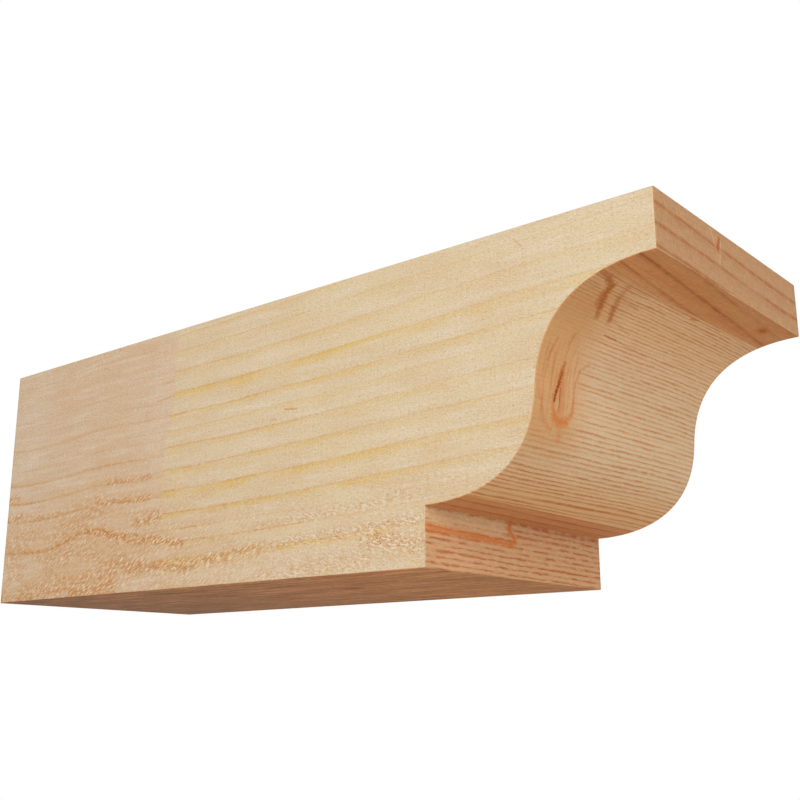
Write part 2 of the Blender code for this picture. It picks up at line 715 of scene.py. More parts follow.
TORN_PATCHES = strokes(
    (-10.0, -3.0, 26.0, 0.0, 8.0, 0.85), (26.0, 2.0, 112.0, 4.0, 12.0, 0.85),
    (86.0, 8.0, 122.0, 17.0, 9.0, 0.8), (128.0, 14.0, 176.0, 11.0, 6.5, 0.9),
    (172.0, 11.5, 232.0, 16.5, 5.5, 0.85), (232.0, 16.5, 334.0, 22.0, 4.5, 0.8),
    (236.0, 27.5, 330.0, 33.0, 3.5, 0.6), (0.0, 36.0, 28.0, 40.0, 12.0, 0.55),
    (60.0, 36.0, 96.0, 50.0, 17.0, 0.6), (0.0, 52.0, 14.0, 53.0, 5.0, 0.8),
    (14.0, 51.0, 60.0, 50.0, 3.0, 0.6), (92.0, 53.0, 142.0, 51.5, 3.2, 0.8),
    (104.0, 64.0, 142.0, 63.5, 2.6, 0.7), (0.0, 64.0, 10.0, 65.0, 4.0, 0.7),
    (86.0, 37.5, 120.0, 32.0, 4.5), (118.0, 32.0, 172.0, 24.0, 4.0),
    (132.0, 38.0, 152.0, 41.0, 6.0, 0.8), (128.0, 62.0, 142.0, 64.0, 3.5, 0.6),
    (60.0, 24.0, 86.0, 27.0, 7.0, 0.6), (236.0, 3.0, 302.0, 6.0, 7.5, 0.65),
    (304.0, 15.0, 338.0, 11.0, 8.0), (318.0, 35.0, 326.0, 34.0, 4.0, 0.55),
)
NICKS = strokes(
    (248.5, 85.6, 257.0, 84.6, 0.8), (239.0, 81.5, 242.0, 81.3, 0.8, 0.6),
    (389.0, 140.6, 393.2, 136.2, 0.6, 0.6), (171.0, 31.8, 183.0, 32.4, 0.7, 0.7),
    (146.0, 106.3, 160.0, 107.6, 0.9, 0.7), (150.0, 115.8, 160.0, 116.2, 0.8, 0.6),
)
WHITISH_PATCHES = strokes(
    (120.0, 5.0, 150.0, 4.0, 7.0, 0.9), (-2.0, 17.0, 14.0, 15.0, 9.0),
    (14.0, 14.0, 40.0, 20.0, 6.0, 0.6), (240.0, 12.0, 330.0, 18.0, 13.0, 0.55),
    (270.0, 24.0, 300.0, 28.0, 9.0, 0.4), (-2.0, 84.0, 24.0, 88.0, 9.0, 0.7),
    (-2.0, 67.0, 22.0, 66.5, 3.5, 0.6), (64.0, 138.0, 112.0, 141.5, 1.8, 0.8),
    (128.0, 96.0, 150.0, 74.0, 10.0, 0.4), (160.0, 6.0, 250.0, 5.0, 6.0, 0.5),
)

SEAM_LEAN: Fade = (74.0, 106.0, 153.5, 160.0)
SEAM_SWAY: Sway = ((6.0, 5.0), 1.2, 31.0)
SEAM_EDGE: Fade = (-1.6, 1.6, 0.0, 1.0)
STRIP_SWAY: Sway = ((8.0, 6.0), 1.5, 33.0)
STRIP_EDGE: Fade = (138.0, 147.0, 0.0, 1.0)
STRIP_LINE_FADE: Fade = (0.0, 1.0, 1.0, 0.45)
NOSE_LINE_FADE: Fade = (220.0, 320.0, 1.0, 0.45)
NOSE_BAND_FADE: Fade = (270.0, 400.0, 1.0, 0.45)
TORN_BY_HEIGHT: Fade = (16.0, 80.0, 0.5, 0.1)
TORN_BY_LENGTH: Fade = (120.0, 190.0, 1.0, 0.6)
LOOSE_TORN = Patches((22.0, 7.0), 37.0, (0.36, 0.62, 0.2, 1.0))
TORN_UNEVEN = Patches((9.0, 4.0), 39.0, (0.3, 0.56, 0.4, 1.0))
RISING_FIBRES = Fibres(slant=30.0, length=4.0, width=0.85, curl=0.08, hollow=0.8)
FALLING_FIBRES = Fibres(slant=-14.0, length=3.6, width=1.0, curl=0.06, hollow=0.3)
TURN_SWAY: Sway = ((12.0, 6.0), 14.0, 36.0)
TURN_EDGE: Fade = (225.0, 255.0, 0.0, 1.0)
VEIL = Patches((42.0, 3.0), 35.0, (0.44, 0.72, 0.0, 1.0), 3.0)
VEIL_SHARE = 0.6
WASH_STREAKS = Patches((11.0, 1.7), 34.0, (0.38, 0.6, 0.4, 1.0))


@dataclass
class SideGrain:
    """What a sawn side shows at each place, as numbers from 0 to 1."""

    line: Socket
    band: Socket
    tuft: Socket
    pit: Socket
    torn: Socket
    pale: Socket
    nick: Socket
    nose_stretch: Socket
    pale_strip: Value


def near_side(desk: NodeDesk, place: Socket) -> SideGrain:
    """The grain of the near side: a pinkish stretch by the back end, a yellow one to the nose.

    Args:
        desk: the tree's desk.
        place: where the side is read.

    Returns:
        The side's masks.
    """
    across, height = desk.split(place)
    seam = desk.ease(height, *SEAM_LEAN)
    past_seam = desk.swayed(desk.total(across, desk.number("MULTIPLY", seam, -1.0)), place, (SEAM_SWAY,))
    nose_stretch = desk.ease(past_seam, *SEAM_EDGE)
    before_strip = desk.ease(desk.swayed(across, place, (STRIP_SWAY,)), *STRIP_EDGE)
    pale_strip = desk.product(before_strip, desk.rest(nose_stretch))
    nose_line, nose_band = NOSE_RINGS.draw(desk, place)
    back_line, back_band = BACK_RINGS.draw(desk, place)
    back_line = desk.product(back_line, desk.ease(pale_strip, *STRIP_LINE_FADE))
    nose_line = desk.product(nose_line, desk.ease(across, *NOSE_LINE_FADE))
    nose_band = desk.product(nose_band, desk.ease(across, *NOSE_BAND_FADE))
    spread = desk.product(desk.ease(height, *TORN_BY_HEIGHT), desk.ease(across, *TORN_BY_LENGTH))
    loose = desk.product(spread, LOOSE_TORN.draw(desk, place))
    placed = desk.product(masked(desk, place, TORN_PATCHES), TORN_UNEVEN.draw(desk, place))
    rising_tuft, rising_pit = RISING_FIBRES.draw(desk, place)
    falling_tuft, falling_pit = FALLING_FIBRES.draw(desk, place)
    past_turn = desk.ease(desk.swayed(across, place, (TURN_SWAY,)), *TURN_EDGE)
    washed = desk.product(masked(desk, place, WHITISH_PATCHES), WASH_STREAKS.draw(desk, place))
    return SideGrain(
        line=desk.blend(nose_stretch, back_line, nose_line),
        band=desk.blend(nose_stretch, back_band, nose_band),
        tuft=desk.blend(past_turn, rising_tuft, falling_tuft),
        pit=desk.blend(past_turn, rising_pit, falling_pit),
        torn=desk.highest(placed, loose),
        pale=desk.highest(desk.product(VEIL.draw(desk, place), VEIL_SHARE), washed),
        nick=masked(desk, place, NICKS),
        nose_stretch=nose_stretch,
        pale_strip=pale_strip,
    )


FAR_RINGS = Rings(
    rings=growth_rings(
        (9.0, 0.4, 0.3), (21.0, 0.7, 0.5), (32.0, 0.5, 0.4), (44.0, 0.9, 0.6), (57.0, 0.5, 0.7),
        (68.0, 0.7, 0.4), (80.0, 0.4, 0.5), (91.0, 0.8, 0.6), (104.0, 0.5, 0.7), (116.0, 0.6, 0.4),
        (127.0, 0.4, 0.5), (138.0, 0.6, 0.4), (149.0, 0.4, 0.4),
    ),
    rise=((0.0, 3.0), (120.0, 0.0), (260.0, 2.0), (457.0, 7.0)),
    seed=47.0,
)
PLAIN_TORN = Patches((90.0, 16.0), 61.0, (0.57, 0.76, 0.0, 0.45))
PLAIN_FIBRES = Fibres(slant=12.0, length=3.4, width=1.05, curl=0.07, hollow=0.6)
PLAIN_PALE = Patches((70.0, 3.4), 65.0, (0.46, 0.72, 0.0, 0.7), 3.0)
PLAIN_NICKS = Patches((7.0, 1.6), 67.0, (0.8, 0.86, 0.0, 1.0), 0.0)
PLAIN_STRETCHES = Patches((160.0, 60.0), 63.0, (0.35, 0.65, 0.2, 0.9), 1.0)


def plain_side(desk: NodeDesk, place: Socket) -> SideGrain:
    """The plainer grain of the far side and of the top, with torn grain in a few loose patches.

    Args:
        desk: the tree's desk.
        place: where the face is read.

    Returns:
        The face's masks.
    """
    line, band = FAR_RINGS.draw(desk, place)
    tuft, pit = PLAIN_FIBRES.draw(desk, place)
    return SideGrain(
        line=line,
        band=band,
        tuft=tuft,
        pit=pit,
        torn=PLAIN_TORN.draw(desk, place),
        pale=PLAIN_PALE.draw(desk, place),
        nick=PLAIN_NICKS.draw(desk, place),
        nose_stretch=PLAIN_STRETCHES.draw(desk, place),
        pale_strip=0.0,
    )


CRACKS = strokes(
    (20.2, 120.5, 18.6, 115.0, 0.8, 0.6), (18.8, 116.0, 17.0, 112.0, 1.0, 0.8),
    (17.2, 112.5, 15.8, 107.5, 1.1), (20.2, 113.5, 19.4, 103.0, 0.55, 0.6),
)
BROWN_STREAKS = strokes(
    (-1.0, 169.5, 8.0, 168.8, 2.4, 0.75), (8.0, 168.8, 15.5, 165.5, 2.6, 0.9),
    (15.5, 165.8, 18.5, 160.0, 3.0), (15.8, 161.0, 20.0, 155.0, 2.2, 0.6),
    (18.5, 160.0, 23.5, 154.0, 2.8), (22.0, 155.5, 27.0, 149.5, 2.2, 0.7),
    (24.5, 169.0, 28.0, 162.0, 2.6, 0.4), (27.5, 162.5, 33.0, 156.0, 2.2, 0.6),
    (31.5, 157.0, 37.0, 150.5, 2.4, 0.8), (37.0, 151.5, 58.0, 148.0, 1.0, 0.22),
    (31.0, 162.0, 46.0, 161.0, 0.9, 0.22), (41.0, 143.3, 51.0, 143.4, 0.6, 0.9),
    (59.6, 213.6, 62.4, 219.2, 1.6), (63.0, 214.5, 64.0, 208.5, 1.1, 0.3),
    (128.6, 185.9, 132.0, 185.3, 2.6), (21.0, 125.0, 19.9, 119.5, 1.2, 0.8),
    (20.1, 121.0, 18.4, 114.0, 2.2),
)
ORANGE_MARKS = strokes(
    (-4.0, 18.2, 40.0, 17.2, 2.9, 0.75), (36.0, 17.2, 68.0, 16.2, 2.3, 0.9),
    (68.0, 17.0, 70.5, 18.0, 2.4), (70.0, 19.0, 66.0, 23.5, 1.7), (66.0, 23.0, 66.5, 27.4, 2.3),
    (14.6, 110.0, 14.8, 104.5, 1.6, 0.6), (14.8, 104.5, 17.0, 100.8, 2.0, 0.75),
    (17.0, 100.8, 21.5, 98.8, 3.2, 0.85), (21.5, 98.8, 26.5, 100.0, 3.4, 0.85),
    (21.0, 102.0, 22.5, 107.0, 2.4, 0.35), (26.5, 99.8, 29.5, 103.5, 2.0, 0.65),
    (29.5, 103.5, 30.8, 110.0, 1.4, 0.4), (22.5, 98.0, 24.0, 91.5, 2.4, 0.3),
    (19.5, 122.0, 17.5, 110.0, 2.4, 0.5), (127.5, 185.8, 133.0, 185.2, 5.0, 0.6),
)
REDDISH_MARKS = strokes(
    (31.0, 104.0, 31.3, 118.0, 1.4, 0.6), (31.3, 118.0, 34.0, 124.5, 1.0, 0.6),
    (34.0, 124.5, 40.0, 128.5, 0.8, 0.5), (19.6, 133.5, 20.6, 138.5, 1.1, 0.65),
    (7.0, 124.0, 10.0, 134.0, 1.5, 0.5), (3.0, 110.0, 9.5, 98.0, 1.4, 0.35),
    (8.5, 98.0, 16.0, 94.5, 1.5, 0.4), (19.8, 123.0, 20.3, 133.0, 0.8, 0.5),
    (12.5, 112.0, 11.5, 128.0, 1.2, 0.35), (5.0, 116.0, 5.5, 132.0, 1.0, 0.4),
    (26.5, 106.0, 27.0, 124.0, 1.0, 0.3), (51.0, 143.4, 82.0, 142.2, 0.6, 0.55),
    (83.0, 170.5, 88.0, 171.2, 1.3), (28.0, 170.0, 84.0, 171.6, 0.7, 0.6),
    (88.0, 171.4, 112.0, 171.6, 0.6, 0.5),
)
PALE_MARKS = strokes(
    (54.0, 221.5, 59.5, 211.5, 0.9, 0.5), (63.8, 219.0, 61.5, 207.5, 1.0, 0.6),
    (3.0, 24.0, 60.0, 23.6, 5.2, 0.85), (68.5, 25.5, 74.0, 24.5, 1.0, 0.6),
)

ZONE_EDGE = 0.4
FOOT_TOP = 49.6
COVE_HEAD = 170.4
COVE_HEAD_LEAN = -0.024
COVE_HEAD_SOFTNESS: Fade = (18.0, 64.0, 5.0, 0.4)
HEEL_LEAN = -0.016
FOOT_LEAN = -0.01
BELLY_RISE: Fade = (-20.0, 150.0, 0.0, 1.0)
BELLY_RISE_HEIGHT = 3.6
HEAD_LEAN = -0.07
NOSE_LEAN = -0.024
FRONT_SWAYS: tuple[Sway, ...] = (
    ((70.0, 22.0), 0.9, 71.0), ((14.0, 3.0), 0.45, 73.0), ((2.6, 0.9), 0.3, 75.0),
    ((60.0, 1.7), 0.55, 76.0),
)
HEEL_SWAY: Sway = ((6.0, 1.4), 0.5, 78.0)
HEEL_COUNTS = ((-4.0, -1.5), (0.0, 10.0))
OGEE_COUNTS = (
    (49.0, 12.6), (52.9, 14.0), (57.6, 15.0), (61.6, 16.0), (64.3, 17.0), (122.0, 41.6), (140.0, 50.8),
    (167.0, 66.0), (170.5, 68.0), (174.0, 69.0), (178.5, 70.0), (188.0, 71.0),
)
NOSE_COUNTS = ((1.8, 72.0), (207.5, 73.0), (216.0, 74.0), (228.0, 75.0))
FRONT_LINE_SHARE: Fade = (0.0, 1.0, 0.36, 0.17)
FRONT_BAND_SHARE = 0.8
FRONT_UNEVEN = Patches((70.0, 0.8), 77.0, (0.3, 0.62, 0.35, 1.0), 1.0)
FRONT_BREAKS = Patches((8.0, 0.9), 79.0, (0.36, 0.58, 0.2, 1.0))
BREAK_STRENGTH: Fade = (0.2, 1.0, 0.6, 1.0)
LOW_BELLY_LIFT: Fade = (58.0, 92.0, 0.2, 0.0)
HEEL_BAND = 0.1
KNOT_CENTRE = (18.0, 115.0)
KNOT_REACH = (15.0, 24.0)
KNOT_SWAY: Sway = ((9.0, 12.0), 0.18, 81.0)
KNOT_EDGE: Fade = (0.75, 1.2, 1.0, 0.0)
CLEAR_ACROSS: Fade = (22.0, 46.0, 1.0, 0.0)
CLEAR_UP: Window = (92.0, 150.0, 24.0)
CLEAR_SHARE = 0.8
HAIR_UP: Window = (143.0, 156.0, 4.0)
HAIR_SHARE = 0.12


@dataclass
class FrontGrain:
    """What the front shows at each place, as numbers from 0 to 1."""

    line: Socket
    band: Socket
    heel: Socket
    bulge_foot: Socket
    cove_head: Socket
    nose: Socket
    knot: Socket
    crack: Socket


@dataclass(frozen=True)
class FrontReach:
    """How far up the front its corners lie, in millimetres from the heel's lower arris."""

    step_top: float
    nose_foot: float


def front(desk: NodeDesk, place: Socket, reach: FrontReach) -> FrontGrain:
    """The fine grain of the front, which lies across the timber from the heel up to the nose.

    Args:
        desk: the tree's desk.
        place: where the front is read.
        reach: how far up its corners lie.

    Returns:
        The front's masks.
    """
    across, up = desk.split(place)
    step_edge = (reach.step_top - ZONE_EDGE / 2, reach.step_top + ZONE_EDGE / 2)
    nose_edge = (reach.nose_foot - ZONE_EDGE / 2, reach.nose_foot + ZONE_EDGE / 2)
    heel = desk.ease(up, *step_edge, 1.0, 0.0)
    bulge_foot = desk.window(up, reach.step_top, FOOT_TOP, ZONE_EDGE)
    level_head = desk.number("MULTIPLY_ADD", across, COVE_HEAD_LEAN, up)
    softness = desk.ease(across, *COVE_HEAD_SOFTNESS)
    head_edge = [desk.number(way, COVE_HEAD, softness) for way in ("SUBTRACT", "ADD")]
    cove_head = desk.product(desk.ease(level_head, *head_edge), desk.ease(up, *nose_edge, 1.0, 0.0))
    nose = desk.ease(up, *nose_edge)
    smooth = desk.total(bulge_foot, cove_head, nose)
    belly = desk.number("SUBTRACT", desk.rest(heel), smooth)
    rise = desk.total(
        desk.product(heel, across, HEEL_LEAN),
        desk.product(bulge_foot, across, FOOT_LEAN),
        desk.product(belly, desk.ease(across, *BELLY_RISE), BELLY_RISE_HEIGHT),
        desk.product(cove_head, across, HEAD_LEAN),
        desk.product(nose, across, NOSE_LEAN),
    )
    level = desk.swayed(desk.number("SUBTRACT", up, rise), place, FRONT_SWAYS)
    level = desk.total(level, desk.product(heel, desk.wander(place, *HEEL_SWAY)))
    first, step = HEEL_COUNTS
    nose_start, *nose_rest = NOSE_COUNTS
    on_step = (reach.step_top + step[0], step[1])
    on_nose = (reach.nose_foot + nose_start[0], nose_start[1])
    count = desk.curve(level, (first, on_step, *OGEE_COUNTS, on_nose, *nose_rest))
    line_share = desk.ease(smooth, *FRONT_LINE_SHARE)
    drawn = desk.group(
        growth_lines(desk.tree), rings=count, line_share=line_share, band_share=FRONT_BAND_SHARE
    )
    counted = desk.join(across, count)
    broken = FRONT_BREAKS.draw(desk, counted)
    strength = desk.product(FRONT_UNEVEN.draw(desk, counted), desk.ease(broken, *BREAK_STRENGTH))
    strength = desk.blend(desk.ease(up, *LOW_BELLY_LIFT), strength, 1.0)
    knot_place = desk.stretched(desk.vector("SUBTRACT", place, (*KNOT_CENTRE, 0.0)), KNOT_REACH)
    knot_range = desk.swayed(desk.measure("LENGTH", knot_place), place, (KNOT_SWAY,))
    knot = desk.ease(knot_range, *KNOT_EDGE)
    clear_corner = desk.product(desk.ease(across, *CLEAR_ACROSS), desk.window(up, *CLEAR_UP), CLEAR_SHARE)
    hair_zone = desk.product(desk.window(level_head, *HAIR_UP), HAIR_SHARE)
    shown = desk.product(strength, desk.rest(desk.highest(clear_corner, hair_zone, knot)))
    line = desk.product(drawn.outputs["Line"], desk.blend(heel, shown, broken))
    band = desk.product(drawn.outputs["Band"], desk.blend(heel, shown, HEEL_BAND))
    return FrontGrain(
        line=line,
        band=band,
        heel=heel,
        bulge_foot=bulge_foot,
        cove_head=cove_head,
        nose=nose,
        knot=knot,
        crack=masked(desk, place, CRACKS),
    )


PITH = (58.0, -46.0)
END_PITCH = 6.2
END_SWAY: Sway = ((30.0, 30.0), 2.0, 91.0)
END_LINE_SHARE = 0.16
END_BAND_SHARE = 0.6
END_BAND_STRENGTH = 0.45
SPOKES_A_TURN = 100.0
END_RAYS = Patches((0.9, 30.0), 93.0, (0.5, 0.7, 0.0, 1.0), 1.0)


def back_end(desk: NodeDesk, place: Socket) -> tuple[Socket, Socket]:
    """The end grain of the back end: arcs about the pith, and fine rays across them.

    Args:
        desk: the tree's desk.
        place: where the back end is read.

    Returns:
        The late lines and the rays, each from 0 to 1.
    """
    spoke = desk.vector("SUBTRACT", place, (*PITH, 0.0))
    radius = desk.swayed(desk.measure("LENGTH", spoke), place, (END_SWAY,))
    count = desk.number("DIVIDE", radius, END_PITCH)
    drawn = desk.group(
        growth_lines(desk.tree), rings=count, line_share=END_LINE_SHARE, band_share=END_BAND_SHARE
    )
    sideways, upward = desk.split(spoke)
    spokes = desk.number("MULTIPLY", desk.number("ARCTAN2", upward, sideways), SPOKES_A_TURN)
    late = desk.highest(drawn.outputs["Line"], desk.product(drawn.outputs["Band"], END_BAND_STRENGTH))
    return late, END_RAYS.draw(desk, desk.join(spokes, radius))


UNDER_SPOTS = strokes(
    (237.0, 60.0, 246.0, 60.0, 6.0), (118.0, 60.0, 122.0, 60.0, 7.0, 0.35),
    (266.0, 116.5, 274.0, 117.0, 4.0, 0.6), (262.0, 11.0, 300.0, 9.0, 3.0, 0.5),
    (338.0, 42.0, 330.0, 40.0, 3.0, 0.3),
)
UNDER_SWAYS: tuple[Sway, ...] = (((80.0, 26.0), 5.0, 51.0), ((12.0, 3.0), 0.5, 53.0))
UNDER_PITCH = 11.5
UNDER_LINE_SHARE = 0.14
UNDER_BAND_SHARE = 0.8
UNDER_BAND_STRENGTH = 0.55
UNDER_UNEVEN = Patches((120.0, 9.0), 55.0, (0.35, 0.65, 0.25, 1.0), 1.0)


@dataclass
class UnderGrain:
    """What the underside shows at each place, as numbers from 0 to 1."""

    line: Socket
    spot: Socket


def under_side(desk: NodeDesk, place: Socket) -> UnderGrain:
    """The faint grain of the underside, which runs along the timber."""
    _, across = desk.split(place)
    count = desk.number("DIVIDE", desk.swayed(across, place, UNDER_SWAYS), UNDER_PITCH)
    drawn = desk.group(
        growth_lines(desk.tree), rings=count, line_share=UNDER_LINE_SHARE, band_share=UNDER_BAND_SHARE
    )
    strength = UNDER_UNEVEN.draw(desk, place)
    line = desk.highest(drawn.outputs["Line"], desk.product(drawn.outputs["Band"], UNDER_BAND_STRENGTH))
    return UnderGrain(line=desk.product(line, strength), spot=masked(desk, place, UNDER_SPOTS))


def section_loop(node: bpy.types.Object) -> np.ndarray:
    """The outline of a straight timber as its corner lines along Y give it.

    Args:
        node: the timber, a CAD node of the frame.

    Returns:
        Points (x, z), anticlockwise as seen from the near side.
    """
    shape = bmesh.new()
    shape.from_mesh(node.data)
    bmesh.ops.remove_doubles(shape, verts=shape.verts, dist=WELD)
    drawn_out = set()
    for edge in shape.edges:
        run = edge.verts[1].co - edge.verts[0].co
        if abs(run.y) > MIN_DRAWN_OUT and math.hypot(run.x, run.z) < WELD:
            drawn_out.add((round(edge.verts[0].co.x, 6), round(edge.verts[0].co.z, 6)))
    everything = [*shape.verts, *shape.edges, *shape.faces]
    cut = bmesh.ops.bisect_plane(shape, geom=everything, plane_co=(0.0, 0.0, 0.0), plane_no=(0.0, 1.0, 0.0))
    rim = [item for item in cut["geom_cut"] if isinstance(item, bmesh.types.BMEdge)]
    neighbours: dict[bmesh.types.BMVert, list[bmesh.types.BMVert]] = {}
    for edge in rim:
        neighbours.setdefault(edge.verts[0], []).append(edge.verts[1])
        neighbours.setdefault(edge.verts[1], []).append(edge.verts[0])
    walk = [rim[0].verts[0], rim[0].verts[1]]
    while len(walk) < len(neighbours):
        walk.append(next(vert for vert in neighbours[walk[-1]] if vert is not walk[-2]))
    rounded = [(round(vert.co.x, 6), round(vert.co.z, 6)) for vert in walk]
    points = np.array([point for point in rounded if point in drawn_out])
    shape.free()
    following = np.roll(points, -1, axis=0)
    area = np.sum(points[:, 0] * following[:, 1] - following[:, 0] * points[:, 1])
    return points if area > 0.0 else points[::-1]


def resampled(points: np.ndarray, pitch: float) -> np.ndarray:
    """Points an even pitch apart on a smooth curve through given points.

    Args:
        points: the curve's given points, one to a row.
        pitch: the rough distance between the new points.

    Returns:
        The new points, which start and end at the given curve's ends.
    """
    chords = np.linalg.norm(np.diff(points, axis=0), axis=1)
    run = np.concatenate([[0.0], np.cumsum(chords)])
    slopes = np.gradient(points, run, axis=0)
    places = np.linspace(0.0, run[-1], round(run[-1] / pitch) + 1)
    piece = np.clip(np.searchsorted(run, places, side="right") - 1, 0, len(chords) - 1)
    share = ((places - run[piece]) / chords[piece])[:, None]
    length = chords[piece][:, None]
    back = 1.0 - share
    return (
        points[piece] * (1.0 + 2.0 * share) * back**2
        + points[piece + 1] * (3.0 - 2.0 * share) * share**2
        + slopes[piece] * length * share * back**2
        - slopes[piece + 1] * length * back * share**2
    )


@dataclass(frozen=True)
class Section:
    """The timber's side outline with its convex corners sharp, and how wide the timber is."""

    low: Vector
    high: Vector
    step_top: np.ndarray
    ogee: np.ndarray

    @classmethod
    def of(cls, node: bpy.types.Object) -> Section:
        """Read the section from the frame.

        Args:
            node: the CAD node.

        Returns:
            The section; its ogee runs from the heel's step out to the nose.
        """
        low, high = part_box(node.name)
        loop = section_loop(node)
        ahead = np.roll(loop, -1, axis=0) - loop
        ahead /= np.linalg.norm(ahead, axis=1)[:, None]
        behind = np.roll(ahead, 1, axis=0)
        turn = behind[:, 0] * ahead[:, 1] - behind[:, 1] * ahead[:, 0]
        loop = np.roll(loop, -int(np.argmin(turn)), axis=0)
        reached = int(np.argmax(loop[:, 0] > high.x - 2.0 * ARRIS_EASE))
        ogee = loop[:reached]
        nose = np.array([[high.x, ogee[-1][1]]])
        return cls(low, high, loop[0], np.vstack([ogee, nose]))

    @property
    def nose_foot(self) -> np.ndarray:
        """The lower corner of the nose."""
        return self.ogee[-1]

    def front_reach(self) -> FrontReach:
        """How far up the front its corners lie, in millimetres."""
        step = float(self.step_top[1] - self.low.z)
        sweep = float(np.sum(np.linalg.norm(np.diff(self.ogee, axis=0), axis=1)))
        return FrontReach(step * MM, (step + sweep) * MM)


@dataclass
class Outline:
    """The timber's outline as a row of points with what the mesh needs at each."""

    places: list[np.ndarray]
    outward: list[np.ndarray]
    faces: list[Face]
    runs: list[float]
    rooms: list[float]

    @classmethod
    def blank(cls) -> Outline:
        """An outline without points."""
        return cls([], [], [], [], [])

    def add(self, place: np.ndarray, outward: np.ndarray, face: Face, run: float, room: float) -> None:
        """Add a point.

        Args:
            place: the point, (x, z).
            outward: how the point moves when the outline grows by 1.
            face: the face that starts here.
            run: the way up the front, from the heel's lower arris.
            room: 1 where the relief may move the point, 0 at an arris.
        """
        self.places.append(place)
        self.outward.append(outward)
        self.faces.append(face)
        self.runs.append(run)
        self.rooms.append(room)

    def add_corner(
        self, place: np.ndarray, before: np.ndarray, after: np.ndarray, face: Face, run: float
    ) -> None:
        """Add an eased square corner, from the outline's direction before it to that after it."""
        centre = place - ARRIS_EASE * before + ARRIS_EASE * after
        for angle in CORNER_STEPS:
            outward = math.sin(angle) * before - math.cos(angle) * after
            self.add(centre + ARRIS_EASE * outward, outward, face, run, 0.0)

    def add_straight(
        self, start: np.ndarray, end: np.ndarray, pitch: float, face: Face, run: float
    ) -> None:
        """Add the points between two corners, which stay clear of both."""
        length = float(np.linalg.norm(end - start))
        ahead = (end - start) / length
        outward = np.array([ahead[1], -ahead[0]])
        count = round(length / pitch)
        for order in range(1, count):
            reach = length * order / count
            way_up = run + reach if face is Face.FRONT else run
            self.add(start + reach * ahead, outward, face, way_up, 1.0)


@dataclass(frozen=True)
class Station:
    """A place across the width where the outline is set."""

    across: float
    drawn_in: float
    room: float


